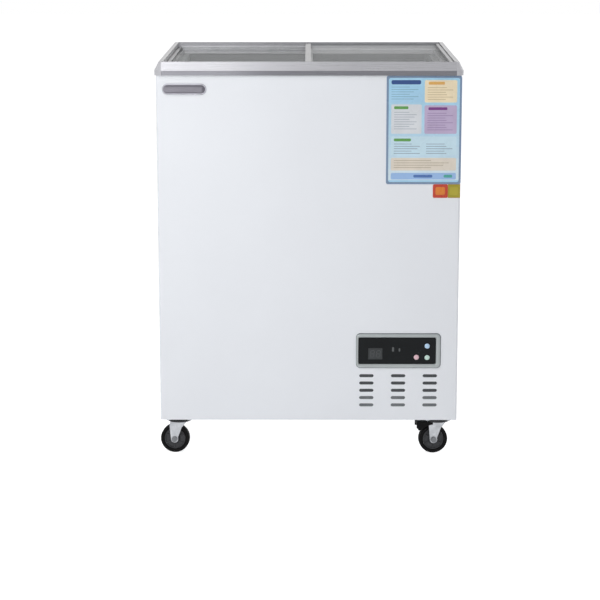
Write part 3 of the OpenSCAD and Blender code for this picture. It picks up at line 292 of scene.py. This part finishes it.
# Glass-fibre circuit board: green solder mask with lighter tracks 3 mm apart
board = finish("circuit_board", ("#1e6a3c", "#144d2b"), (0.25, 0.4), (9, 9, 3), 0.03, 20, 0.9, tracks)
# Dark grey moulded polypropylene: grained like fine leather against finger marks
dark_pp = finish(
    "dark_polypropylene", ("#4a4d50", "#404346"), (0.5, 0.65), even(0.8), 0.03, 40, 0.3, pebbles
)
# Chrome plating on the badge's rim, and the darker, tinted metal field inside it
chrome = finish("satin_chrome", ("#9c9ca3", "#8d8d94"), (0.26, 0.34), even(1.5), 0.003, 20, Metallic=1.0)
badge_field = finish(
    "tinted_badge_field", ("#56545e", "#494750"), (0.24, 0.34), (40, 0.5, 0.5), 0.003, 25, 0.5,
    Metallic=0.5, Coat_Weight=0.5,
)
# Nylon dust net behind the vents: grey threads 1.6 mm apart, twice as far as real ones, so that they
# show. Its lower part is lighter, as painted light from below, and duller
nylon_net = finish("nylon_dust_net", ("#4c5053", "#36393c"), (0.6, 0.7), even(1.6), 0.05, 40, 0.7, net)
net_painted_light = finish("dust_net_painted_light", ("#868b8e", "#65696c"), (0.75, 0.85), even(1.6), 0.05, 40, 0.5, net)
# Printed sheet and labels under a clear film: the film's soft gloss over flat inks
sheet_base = finish("laminated_print", ("#7c93b0", "#7389a6"), (0.22, 0.3), even(14), 0.01, 70)
tab_base = finish("laminated_labels", ("#cf4a2b", "#c54424"), (0.22, 0.3), even(14), 0.01, 20)
inked = finish("printed_inks", ("#ffffff", "#f1f1f1"), (0.22, 0.3), even(14), 0.004, 40, ink=True)
# Zinc-plated steel: bluish, bright, a little cloudy
zinc = finish(
    "zinc_plated_steel", ("#b6b8bc", "#93969a"), (0.28, 0.4), even(3), 0.01, 18, 0.3, Metallic=0.9
)
# Dull steel of the wheels' bolts: darker than the plated forks, so that the bolt heads read as discs
bolt_steel = finish(
    "dull_steel_bolts", ("#75777a", "#65676a"), (0.4, 0.5), even(3), 0.01, 18, 0.3, Metallic=0.8
)
# Zinc of the castor plates and their ball races: near black, partly black-passivated zinc and partly painted shade
# from under the cabinet, with a faint sheen
shade_black_zinc = finish(
    "black_zinc_painted_shade", ("#2b2d2f", "#222426"), (0.35, 0.5), even(3), 0.01, 18, 0.3, Metallic=0.5
)
# Black stoved enamel on the compressor and motor: deep and glossy, over a slightly uneven casting
enamel = finish(
    "black_stoved_enamel", ("#101113", "#18191b"), (0.18, 0.3), even(2.2), 0.02, 60, Coat_Weight=0.3
)
# Mill-finish aluminium: soft rolling lines, a little dull
mill = finish(
    "mill_aluminium", ("#cfd2d4", "#bfc3c6"), (0.38, 0.5), (0.9, 30, 0.9), 0.004, 50, 0.5, Metallic=0.4
)
# Drawn copper tube: warm, bright where new, browner where hands and heat have been
copper = finish(
    "drawn_copper", ("#cd8d68", "#a4664a"), (0.22, 0.42), even(5), 0.006, 25, 0.3, Metallic=1.0
)
# Tinned copper of the condenser's tubes: grey and satin, with no copper showing through
tinned = finish(
    "tinned_copper", ("#9a9c9b", "#868887"), (0.3, 0.42), even(5), 0.006, 25, 0.3, Metallic=0.8
)
# Black thermoplastic rubber tread and grey-black nylon hub of a castor
tread = finish(
    "castor_tread_rubber", ("#070708", "#0e0e0f"), (0.55, 0.7), even(1.2), 0.03, 14,
    Specular_IOR_Level=0.1,
)
hub = finish(
    "castor_hub_nylon", ("#3f4043", "#343538"), (0.45, 0.55), even(1.2), 0.02, 14,
    Specular_IOR_Level=0.3,
)

FINISH = {
    "white_paint": paint,
    "galvanised": galvanised,
    "foam": foam,
    "tank_sheet": tank_sheet,
    "white_plastic": white_abs,
    "anodised": rail_x,
    "cap_plastic": cap_abs,
    "glass": glass,
    "trim": lid_trim,
    "rubber": rubber,
    "silver_plastic": silver_abs,
    "black_gloss": acrylic,
    "display": smoked,
    "board": board,
    "dark_plastic": dark_pp,
    "badge_chrome": chrome,
    "sheet_print": sheet_base,
    "tab_print": tab_base,
    "zinc": zinc,
    "black_enamel": enamel,
    "fin_aluminium": mill,
    "copper": copper,
    "wheel_black": tread,
    **{"button_" + tint: skin for tint, skin in button_abs.items()},
}
OWN_FINISH = {
    "left_rail": shaded_rail_y,
    "right_rail": shaded_rail_y,
    "mouth_strip": shaded_pvc,
    "caster_plates": shade_black_zinc,
    "condenser_tubes": tinned,
    **{castor + "_axle": bolt_steel for castor in CASTORS},
}
for part in frame["record"]["subparts"]:
    skin = OWN_FINISH.get(part["node"], FINISH[part["material_slot"]])
    mesh = frame["nodes"][part["node"]].data
    mesh.materials.clear()
    mesh.materials.append(skin)


# Shapes


def loft(rings, closed=False):
    """Rings of points joined by quads: quad (i, j) has the corners (i, j), (i, j+1), (i+1, j+1) and
    (i+1, j), and j runs round. Closed joins the last ring to the first; otherwise a flat face caps each
    end."""
    m, n = rings.shape[:2]
    i, j = np.meshgrid(np.arange(m if closed else m - 1), np.arange(n), indexing="ij")
    far, after = (i + 1) % m, (j + 1) % n
    quads = np.stack([i * n + j, i * n + after, far * n + after, far * n + j], -1).reshape(-1, 4)
    ends = [] if closed else [np.arange(n)[None, ::-1], (m - 1) * n + np.arange(n)[None]]
    return rings.reshape(-1, 3), [quads, *ends]


def rounded(x, z, w, h, r, steps=8):
    """An outline in the XZ plane, counter-clockwise from the front: quarter circles of radius r about
    the points that lie r inside the corners of a w by h rectangle, joined by straight sides."""
    turn = np.linspace(0, math.pi / 2, steps + 1)
    corner = np.arange(4)[:, None]
    sx, sz = np.array([1, -1, -1, 1])[:, None], np.array([1, 1, -1, -1])[:, None]
    angle = turn[None] + corner * math.pi / 2
    return np.stack(
        [x + sx * (w / 2 - r) + r * np.cos(angle), z + sz * (h / 2 - r) + r * np.sin(angle)], -1
    ).reshape(-1, 2)


def at_depth(outline, y):
    """The outline's points at the depth y; y may be one number or one for each ring of outlines."""
    y = np.broadcast_to(np.reshape(y, (-1, 1)) if np.ndim(y) else y, outline.shape[:-1])
    return np.stack([outline[..., 0], y, outline[..., 1]], -1)


def slab(outline, back, front):
    """A flat plate: the outline carried from the depth back to the depth front."""
    return loft(at_depth(np.stack([outline, outline]), np.array([back, front])))


def turned(centre, axis, along, radius, steps, closed=False):
    """A turned surface: point (i, j) is centre + along * axis + radius * (cos(a) * up + sin(a) * side),
    where a runs evenly round the turn with j, and along and radius follow the section with i. up is the
    Z axis, or the X axis where the surface turns about Z itself."""
    axis = np.array(axis, float)
    up = np.array([0.0, 0.0, 1.0]) if abs(axis[2]) < 0.5 else np.array([1.0, 0.0, 0.0])
    side = np.cross(axis, up)
    a = np.linspace(0, 2 * math.pi, steps, endpoint=False)
    spoke = np.cos(a)[:, None] * up + np.sin(a)[:, None] * side
    rings = len(along)
    along, radius = (
        np.broadcast_to(np.reshape(v, (rings, -1)), (rings, steps))[..., None] for v in (along, radius)
    )
    return loft(np.array(centre) + along * axis + radius * spoke, closed)


CREASE = math.radians(40)  # an edge that turns by more than this stays sharp


def make(name, parts, finishes, body, replaces=(), inks=()):
    """Joins parts, each points in mm, faces and the number of its finish, into one mesh that rides on a
    body. inks gives each part a colour of its own."""
    points, corners, sizes, marks, tints, first = [], [], [], [], [], 0
    for k, (p, faces, mark) in enumerate(parts):
        points.append(p)
        corners += [(f + first).ravel() for f in faces]
        size = np.concatenate([np.full(len(f), f.shape[1]) for f in faces])
        sizes.append(size)
        marks.append(np.broadcast_to(mark, size.shape))
        if inks:
            tints.append(np.tile(linear(inks[k]), (size.sum(), 1)))
        first += len(p)
    size, corner = np.concatenate(sizes), np.concatenate(corners)
    mesh = bpy.data.meshes.new(name)
    mesh.vertices.add(first)
    mesh.vertices.foreach_set("co", (np.concatenate(points) / 1000).astype(np.float32).ravel())
    mesh.loops.add(len(corner))
    mesh.loops.foreach_set("vertex_index", corner.astype(np.int32))
    mesh.polygons.add(len(size))
    mesh.polygons.foreach_set("loop_start", (np.cumsum(size) - size).astype(np.int32))
    mesh.polygons.foreach_set("material_index", np.concatenate(marks).astype(np.int32))
    mesh.polygons.foreach_set("use_smooth", np.ones(len(size), bool))
    for skin in finishes:
        mesh.materials.append(skin)
    if inks:
        ink = mesh.color_attributes.new("ink", "FLOAT_COLOR", "CORNER")
        ink.data.foreach_set("color", np.concatenate(tints).astype(np.float32).ravel())
    mesh.update(calc_edges=True)
    mesh.validate()
    mesh.set_sharp_from_angle(angle=CREASE)
    piece = bpy.data.objects.new(name, mesh)
    bpy.context.scene.collection.objects.link(piece)
    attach(piece, body)
    if replaces:
        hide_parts(*replaces)


def signed_power(v, p):
    """The size of v to the power p, with the sign of v."""
    return np.sign(v) * np.abs(v) ** p


# Control panel: a moulded bezel whose section is half a superellipse, carried from its outer outline to
# the opening round the black face

PANEL, FACE = middle("panel_bezel"), middle("panel_face")
BEZEL_W, BEZEL_H, BEZEL_R = 182.4, 77.0, 9.0
OPENING_W, OPENING_H, OPENING_R = 166.5, 58.2, 3.0
BEZEL_HIGH = 3.2
BEZEL_SQUARE = 2.6  # exponent of the section: 2 is a half ellipse, more is squarer
BEZEL_RINGS, SHADED_RINGS = 25, 7  # rings along the section; the first ones, at its outer edge, carry the painted shade

sweep = np.linspace(0, math.pi, BEZEL_RINGS)
inwards = 0.5 - 0.5 * signed_power(np.cos(sweep), 2 / BEZEL_SQUARE)
proud = BEZEL_HIGH * np.abs(np.sin(sweep)) ** (2 / BEZEL_SQUARE)
outer = rounded(*PANEL, BEZEL_W, BEZEL_H, BEZEL_R)
opening = rounded(*FACE, OPENING_W, OPENING_H, OPENING_R)
bezel = at_depth(outer + inwards[:, None, None] * (opening - outer), FACE_Y - proud)
shaded_edge = np.repeat(np.arange(BEZEL_RINGS) < SHADED_RINGS, bezel.shape[1])
make(
    "bezel_moulding",
    [(*loft(bezel, True), shaded_edge)],
    [silver_abs, edge_shade_abs],
    "root",
    ["panel_bezel"],
)

DIGIT_H, DIGIT_W, DIGITS_APART = 14.0, 7.6, 13.0
SEGMENT_T, GAP, SLANT = 1.3, 0.5, math.tan(math.radians(7))
SUNK, PROUD = 0.1, 0.03  # how far a segment reaches into the window, and how far it stands out of it


def segment(x, z, length, upright):
    """One bar of a seven-segment digit: a long hexagon, turned a quarter where it is upright."""
    h, t = length / 2 - GAP, SEGMENT_T / 2
    bar = np.array([[h, 0], [h - t, t], [t - h, t], [-h, 0], [t - h, -t], [h - t, -t]])
    return (bar[:, ::-1] * [-1, 1] if upright else bar) + [x, z]


window_x, window_z = middle("display_window")
bars = []
for digit_x in (window_x - DIGITS_APART / 2, window_x + DIGITS_APART / 2):
    bars += [segment(digit_x, window_z + level * DIGIT_H / 2, DIGIT_W, False) for level in (-1, 0, 1)]
    bars += [
        segment(digit_x + side * DIGIT_W / 2, window_z + level * DIGIT_H / 4, DIGIT_H / 2, True)
        for side in (-1, 1)
        for level in (-1, 1)
    ]
leaning = [bar + np.outer((bar[:, 1] - window_z) * SLANT, [1, 0]) for bar in bars]
make(
    "display_segments",
    [(*slab(bar, WINDOW_Y + SUNK, WINDOW_Y - PROUD), 0) for bar in leaning],
    [unlit],
    "root",
)

# Two small windows for indicator lamps: X and Z of the middle, width and height
INDICATORS = ((181.8, 241.5, 4.6, 10.0), (195.6, 240.4, 3.4, 7.6))
INDICATOR_R = 1.6
LAMP_BACK, LAMP_FRONT = BLACK_FACE_Y + 0.2, BLACK_FACE_Y - 0.12
panes = [slab(rounded(*lamp, INDICATOR_R), LAMP_BACK, LAMP_FRONT) for lamp in INDICATORS]
make("indicator_windows", [(*pane, 0) for pane in panes], [unlit], "root")

# Behind the vents: a net in front of the works, between the front skin and the bulkhead's flange. Its
# lower stretch is painted lighter, as painted light from below. The two stretches are SEAM apart, behind
# the wall between two rows of vents
NET_W, NET_LOW, NET_TOP, LIGHT_TOP, SEAM = 180.0, 108.0, 192.0, 142.0, 0.2
NET_BACK, NET_FRONT, NET_R = -274.0, -275.2, 3.0
stretches = ((LIGHT_TOP + SEAM, NET_TOP), (NET_LOW, LIGHT_TOP))
make(
    "dust_net",
    [
        (*slab(rounded(PANEL[0], (low + top) / 2, NET_W, top - low, NET_R), NET_BACK, NET_FRONT), mark)
        for mark, (low, top) in enumerate(stretches)
    ],
    [nylon_net, net_painted_light],
    "root",
)

BUTTON_R, STEM_R, COLLAR_R, POLE_R, BUTTON_STEPS = 5.5, 2.0, 7.0, 0.4, 48
# How far in front of the cabinet's middle a button's stem ends, its collar begins and ends, and its cap
# has a straight side. From there the dome rises by DOME
STEM_END, COLLAR_BACK, COLLAR_FRONT, CAP_SIDE, DOME = 260.0, 275.2, 276.2, 278.4, 1.3
# From the stem's end to the crown: stem, collar, side of the cap, then a quarter ellipse as its dome
rise = np.linspace(0, math.pi / 2, 11)[:-1]
button_y = np.concatenate(
    [np.repeat([STEM_END, COLLAR_BACK, COLLAR_FRONT], 2), CAP_SIDE + DOME * np.sin(rise)]
)
button_r = np.concatenate(
    [[POLE_R, STEM_R, STEM_R, COLLAR_R, COLLAR_R, BUTTON_R], BUTTON_R * np.cos(rise)]
)
for name, tint in (
    ("upper_button", "blue"),
    ("lower_right_button", "green"),
    ("lower_left_button", "pink"),
):
    x, z = middle(name)
    cap = turned((x, 0, z), (0, -1, 0), button_y, button_r, BUTTON_STEPS)
    make(name + "_cap", [(*cap, 0)], [button_abs[tint]], name, [name])


# Badge: a plated rim round a crowned, tinted field, left bare

BADGE = middle("badge_plate")
BADGE_W, BADGE_H, RIM_W = 93.0, 23.0, 3.0
FIELD_HIGH, CROWN = 1.85, 0.7  # height of the field at the rim, and how much it rises to its middle
END_ROUND = 0.96  # the ends' radius, as a share of half the height
# The section: distances in from the outline, and heights over the cabinet's face. The rim is a rounded
# bead, and the field rises to its middle as a parabola
rim_in = np.array([0, 0, 0.07, 0.24, 0.5, 0.74, 0.9, 0.96, 1.0]) * RIM_W
rim_high = [0, 1.7, 2.25, 2.65, 2.8, 2.65, 2.3, 1.95, FIELD_HIGH]
field_in = np.linspace(3.3, 11.2, 9)
to_middle = (field_in - RIM_W) / (BADGE_H / 2 - RIM_W)
field_high = FIELD_HIGH + CROWN * (1 - (1 - to_middle) ** 2)
inset = np.concatenate([rim_in, field_in])
badge = np.stack(
    [
        rounded(*BADGE, BADGE_W - 2 * d, BADGE_H - 2 * d, END_ROUND * (BADGE_H / 2 - d), 12)
        for d in inset
    ]
)
badge_y = FACE_Y - np.concatenate([rim_high, field_high])
in_field = np.repeat(np.arange(len(inset) - 1) >= len(rim_in) - 1, badge.shape[1])
make(
    "badge_casting",
    [(*loft(at_depth(badge, badge_y)), np.concatenate([in_field, [0, 1]]))],
    [chrome, badge_field],
    "root",
    ["badge_plate"],
)


# Information sheet and tabs: flat inks of a plain colour layout, with ruled lines where a sheet has its
# wording

SHEET_X, SHEET_TOP = box_mm("info_sheet")[0, 0], box_mm("info_sheet")[1, 2]
TABS_TOP = SHEET_TOP - box_mm("colour_tabs")[1, 2]  # how far down from the sheet's top the tabs begin
LAYER = 0.05  # each ink lies this much in front of the one under it
INK_BACK = 0.1  # how far an ink reaches back into the sheet
BAR_H, BAR_R = 1.3, 0.6  # height of a ruled bar, and the radius of its ends
PITCH = 5.0  # from one ruled bar to the next


def block(u, v, w, h, colour, layer, r):
    """A rectangle of ink with corners of radius r, u mm from the sheet's left edge and v mm from its top.
    layer counts from the sheet outwards."""
    outline = rounded(SHEET_X + u + w / 2, SHEET_TOP - v - h / 2, w, h, min(r, 0.45 * h), 4)
    return slab(outline, SHEET_Y + INK_BACK, SHEET_Y - layer * LAYER), colour


def ruled(u, v, w, rows, colour, layer=3):
    """Rows of thin bars whose lengths rise and fall as a cosine of the row number."""
    return [
        block(u, v + k * PITCH, w * (0.82 + 0.18 * math.cos(2.1 * k + u)), BAR_H, colour, layer, BAR_R)
        for k in range(rows)
    ]


LINE = "#8a9cb0"
# The ground fades from sky blue to nearly white down the sheet, in strips that are HAIR apart and that
# fill it between its rounded ends
FADE = (
    "#aad9f4", "#add9f4", "#b1dbf4", "#b7def5", "#bde0f5", "#c4e3f5", "#cbe6f6", "#d3e9f6", "#dbedf7",
)
MARGIN, GROUND_W, GROUND_H, GROUND_R, HAIR = 4.5, 149.2, 220.0, 4.0, 0.02
STEP = (GROUND_H - 2 * GROUND_R) / len(FADE)
prints = [
    block(MARGIN, MARGIN, GROUND_W, GROUND_H, FADE[0], 1, GROUND_R),
    *[
        block(MARGIN, MARGIN + GROUND_R + k * STEP, GROUND_W, STEP - HAIR, tone, 1.5, 0.1)
        for k, tone in enumerate(FADE)
    ],
    block(10, 9, 62, 9, "#274a86", 2, 3),
    *ruled(10, 23, 58, 6, "#86b0c6", 2),
    block(80, 9, 68, 47, "#f7e7c6", 2, 3),
    block(88, 12.5, 34, 6, "#e5b062", 3, 2),
    *ruled(86, 24, 54, 6, "#cdb98f"),
    block(10, 60, 64, 62, "#dfe3e8", 2, 3),
    block(16, 64, 30, 6, "#5fa050", 3, 2),
    *ruled(16, 76, 50, 8, "#aab2bd"),
    block(80, 62, 68, 60, "#c3b2d2", 2, 3),
    block(88, 66, 40, 6, "#7c3c87", 3, 2),
    *ruled(86, 78, 54, 8, "#9c88b2"),
    block(10, 128, 138, 40, "#cfeaf7", 2, 3),
    block(16, 132, 36, 6, "#5fa050", 3, 2),
    *ruled(16, 143, 58, 5, LINE),
    *ruled(84, 143, 56, 5, LINE),
    block(10, 173, 138, 27, "#e6ddcf", 2, 3),
    *ruled(16, 178, 122, 4, "#b9ab95"),
    block(10, 205, 138, 14, "#9fc2ee", 2, 3),
    block(58, 209, 40, 6, "#4f74b4", 3, 2),
    block(122, 209, 18, 6, "#4aa59a", 3, 2),
]
tab_prints = [
    block(99.8, TABS_TOP + 0.2, 31.0, 28.6, "#c73f24", 1, 3),
    block(105.3, TABS_TOP + 6, 20, 16.5, "#e2832a", 2, 3),
    block(131.5, TABS_TOP + 0.2, 26.0, 28.6, "#a4971f", 1, 1),
    block(135.5, TABS_TOP + 6, 17.5, 17, "#b3a62c", 2, 2),
]
for name, inks, slot in (("sheet_inks", prints, "sheet_print"), ("tab_inks", tab_prints, "tab_print")):
    shapes = [(*shape, 0) for shape, _ in inks]
    make(name, shapes, [inked], "root", inks=[colour for _, colour in inks])


# Castor wheels: tread, ribbed hub and boss on the axle. The tread's section is a superellipse

WHEEL_R, WHEEL_HALF, HUB_R = 31.5, 10.0, 23.0
BOSS_HALF, BOSS_R, BORE_R = 11.7, 9.0, 4.05
TREAD_SQUARE = 5  # exponent of the tread's section
TREAD_POINTS, WHEEL_STEPS = 48, 144  # points round the section, and steps round the wheel
RIBS, RIB_LIFT = 6, 2.4
RIB_FOOT, RIB_RAMP = 0.86, 0.1  # where a rib starts and how soon it is at its height, by its cosine

turn = np.linspace(math.pi, -math.pi, TREAD_POINTS, endpoint=False)
tread_mid, tread_half = (WHEEL_R + HUB_R) / 2, (WHEEL_R - HUB_R) / 2
tread_y = WHEEL_HALF * signed_power(np.cos(turn), 2 / TREAD_SQUARE)
tread_r = tread_mid + tread_half * signed_power(np.sin(turn), 2 / TREAD_SQUARE)

# The hub's section from the rim's edge inwards over one side; the other side mirrors it
side_r = np.array([22.9, 22.4, 21.2, 20.2, 17.5, 14.5, 11.5, 9.6, BOSS_R, 8.6, BORE_R])
side_y = np.array([8.2, 8.6, 8.6, 5.4, 5.0, 5.0, 5.4, 8.0, 11.3, BOSS_HALF, BOSS_HALF])
in_web = (side_y < 6)[:, None]
spin = np.linspace(0, 2 * math.pi, WHEEL_STEPS, endpoint=False)
rib = np.clip((np.cos(RIBS * spin) - RIB_FOOT) / RIB_RAMP, 0, 1)
front_side = side_y[:, None] + RIB_LIFT * in_web * rib
hub_y = np.concatenate([front_side, -front_side[::-1]])
hub_r = np.concatenate([side_r, side_r[::-1]])
for castor in CASTORS:
    roll = joints[castor + "_wheel_roll"]
    centre = 1000 * np.array(roll["pos_m"])
    tyre = turned(centre, roll["axis"], tread_y, tread_r, WHEEL_STEPS, True)
    disc = turned(centre, roll["axis"], hub_y, hub_r, WHEEL_STEPS, True)
    make(
        castor + "_castor_wheel",
        [(*tyre, 0), (*disc, 1)],
        [tread, hub],
        castor + "_wheel",
        [castor + "_wheel"],
    )


# Dust ring round each ball race: a square-shouldered ring that covers the crown of the fork. Its near-black finish
# is partly painted shade from under the cabinet

RING_IN, RING_OUT, RING_LOW, RING_TOP, RING_EDGE = 24.2, 26.6, 72.3, 77.4, 0.6
RING_STEPS = 96
ring_r = [RING_IN, RING_IN, RING_OUT - RING_EDGE, RING_OUT, RING_OUT, RING_OUT - RING_EDGE]
ring_z = [RING_TOP, RING_LOW, RING_LOW, RING_LOW + RING_EDGE, RING_TOP - RING_EDGE, RING_TOP]
for castor in CASTORS:
    centre = 1000 * np.array(joints[castor + "_swivel_turn"]["pos_m"]) * [1, 1, 0]
    ring = turned(centre, (0, 0, 1), ring_z, ring_r, RING_STEPS, True)
    make(castor + "_dust_ring", [(*ring, 0)], [shade_black_zinc], castor + "_swivel")


# Rear grille screws: domed heads with a cross recess

SCREW_X, SCREW_Z = (85.5, 195.9, 307.5), (106.0, 300.0)
SHANK_END, SHANK_R, SCREW_POLE_R, SCREW_R = 275.3, 2.0, 0.3, 4.0
HEAD_SIDE, HEAD_HIGH, HEAD_CURVE_R = 277.3, 1.4, 4.05
CROSS_HALF, CROSS_WALL, CROSS_DEEP, CROSS_R = 0.62, 0.2, 0.9, 2.4
# The head is a quarter ellipse. The cross is sunk where a point lies near one of two lines through the
# middle and within CROSS_R of it, and its walls slope over CROSS_WALL
reach = np.array([4.0, 3.9, 3.5, 2.9, 2.5, 2.2, 1.7, 1.2, 0.8, 0.5, 0.25])
about = np.linspace(0, 2 * math.pi, 64, endpoint=False)
across = np.minimum(
    np.abs(reach[:, None] * np.cos(about)), np.abs(reach[:, None] * np.sin(about))
)
slope = np.clip((CROSS_HALF - across) / CROSS_WALL, 0, 1)
sunk = CROSS_DEEP * slope * (reach[:, None] < CROSS_R)
head_y = HEAD_SIDE + HEAD_HIGH * np.sqrt(1 - (reach[:, None] / HEAD_CURVE_R) ** 2) - sunk
shank_y = np.tile(np.array([SHANK_END, SHANK_END, BACK_Y, BACK_Y])[:, None], len(about))
screw_y = np.concatenate([shank_y, head_y])
screw_r = np.concatenate([[SCREW_POLE_R, SHANK_R, SHANK_R, SCREW_R], reach])
screws = [
    (*turned((x, 0, z), (0, 1, 0), screw_y, screw_r, len(about)), 0) for x in SCREW_X for z in SCREW_Z
]
make("cross_recess_screws", screws, [zinc], "root", ["grille_screws"])


# Floor, light and camera


def white_to_the_lens(tree, strength):
    """The strength, for camera, glossy and transmission rays alone; 0 for the rays that light things."""
    rays = add(tree, "ShaderNodeLightPath").outputs
    seen = rays["Is Camera Ray"]
    for other in ("Is Glossy Ray", "Is Transmission Ray"):
        seen = add(
            tree, "ShaderNodeMath", {"operation": "MAXIMUM"}, {0: seen, 1: rays[other]}
        ).outputs[0]
    return add(tree, "ShaderNodeMath", {"operation": "MULTIPLY"}, {0: seen, 1: strength}).outputs[0]


# Matt white paper: it bounces light as paper does, glows for the lens, and keeps a soft shadow
FLOOR_HALF, FLOOR_GLOW = 15.0, 0.8
floor_mesh = bpy.data.meshes.new("studio_floor")
corners = np.array([[-1, -1, 0], [1, -1, 0], [1, 1, 0], [-1, 1, 0]]) * FLOOR_HALF
floor_mesh.from_pydata(corners.tolist(), [], [[0, 1, 2, 3]])
floor = bpy.data.objects.new("studio_floor", floor_mesh)
bpy.context.scene.collection.objects.link(floor)
paper = bpy.data.materials.new("white_studio_paper")
paper.use_nodes = True
tree = paper.node_tree
tree.nodes.clear()
paper_inputs = {
    "Base Color": linear("#e9e9ea"),
    "Roughness": 0.9,
    "Specular IOR Level": 0.1,
    "Emission Color": linear("#ffffff"),
    "Emission Strength": white_to_the_lens(tree, FLOOR_GLOW),
}
matt = add(tree, "ShaderNodeBsdfPrincipled", {}, paper_inputs)
add(tree, "ShaderNodeOutputMaterial", {}, {"Surface": matt.outputs[0]})
floor_mesh.materials.append(paper)

# A white surround for the lens and for reflections, and a dim one for light
SKY = 0.3
world = bpy.data.worlds.new("studio")
bpy.context.scene.world = world
world.use_nodes = True
tree = world.node_tree
tree.nodes.clear()
seen = white_to_the_lens(tree, 1.0)
level = add(tree, "ShaderNodeMapRange", {}, {"Value": seen, "To Min": SKY, "To Max": 1.0}).outputs[0]
sky = add(tree, "ShaderNodeBackground", {}, {"Color": linear("#ffffff"), "Strength": level})
add(tree, "ShaderNodeOutputWorld", {}, {"Surface": sky.outputs[0]})


def softbox(name, place, target, width, height, power):
    """An area lamp of the given size in metres and power in watts that looks from place to target."""
    lamp = bpy.data.lights.new(name, "AREA")
    lamp.shape = "RECTANGLE"
    lamp.size = width
    lamp.size_y = height
    lamp.energy = power
    holder = bpy.data.objects.new(name, lamp)
    bpy.context.scene.collection.objects.link(holder)
    look = np.array(target) - np.array(place)
    flat = math.hypot(look[0], look[1])
    holder.location = place
    holder.rotation_euler = (math.atan2(flat, -look[2]), 0, math.atan2(-look[0], look[1]))


# The key lamp shades the front from left to right, and the window lamp lights the left end of the front
# rail. The others keep the right side, the left side and the front's right half from going dark
MIDDLE = (0, 0, 0.5)
softbox("key_softbox", (-0.97, -1.95, 2.7), MIDDLE, 1.5, 2.4, 32.5)
softbox("window_softbox", (-0.68, -1.95, 0.6), (-0.68, 0, 0.6), 1.0, 0.8, 7.8)
softbox("side_softbox", (3.0, 1.1, 1.6), MIDDLE, 2.0, 2.0, 42)
softbox("left_softbox", (-3.0, 0.6, 1.6), MIDDLE, 2.0, 2.0, 14)
softbox("fill_softbox", (2.6, -3.0, 1.6), MIDDLE, 2.2, 2.2, 7)

# The camera stands 4.5 m in front and looks down; its angles are in degrees
LENS, SENSOR = 120.13, 36.0
CAMERA_PLACE = (0.0, -4.480, 1.219)
LOOK_DOWN, LOOK_LEFT = 11.686, 0.253
camera = bpy.data.cameras.new("camera")
camera.lens = LENS
camera.sensor_width = SENSOR
holder = bpy.data.objects.new("camera", camera)
bpy.context.scene.collection.objects.link(holder)
holder.location = CAMERA_PLACE
holder.rotation_euler = (math.radians(90 - LOOK_DOWN), 0.0, math.radians(LOOK_LEFT))
bpy.context.scene.camera = holder
bpy.context.scene.view_settings.view_transform = "Standard"
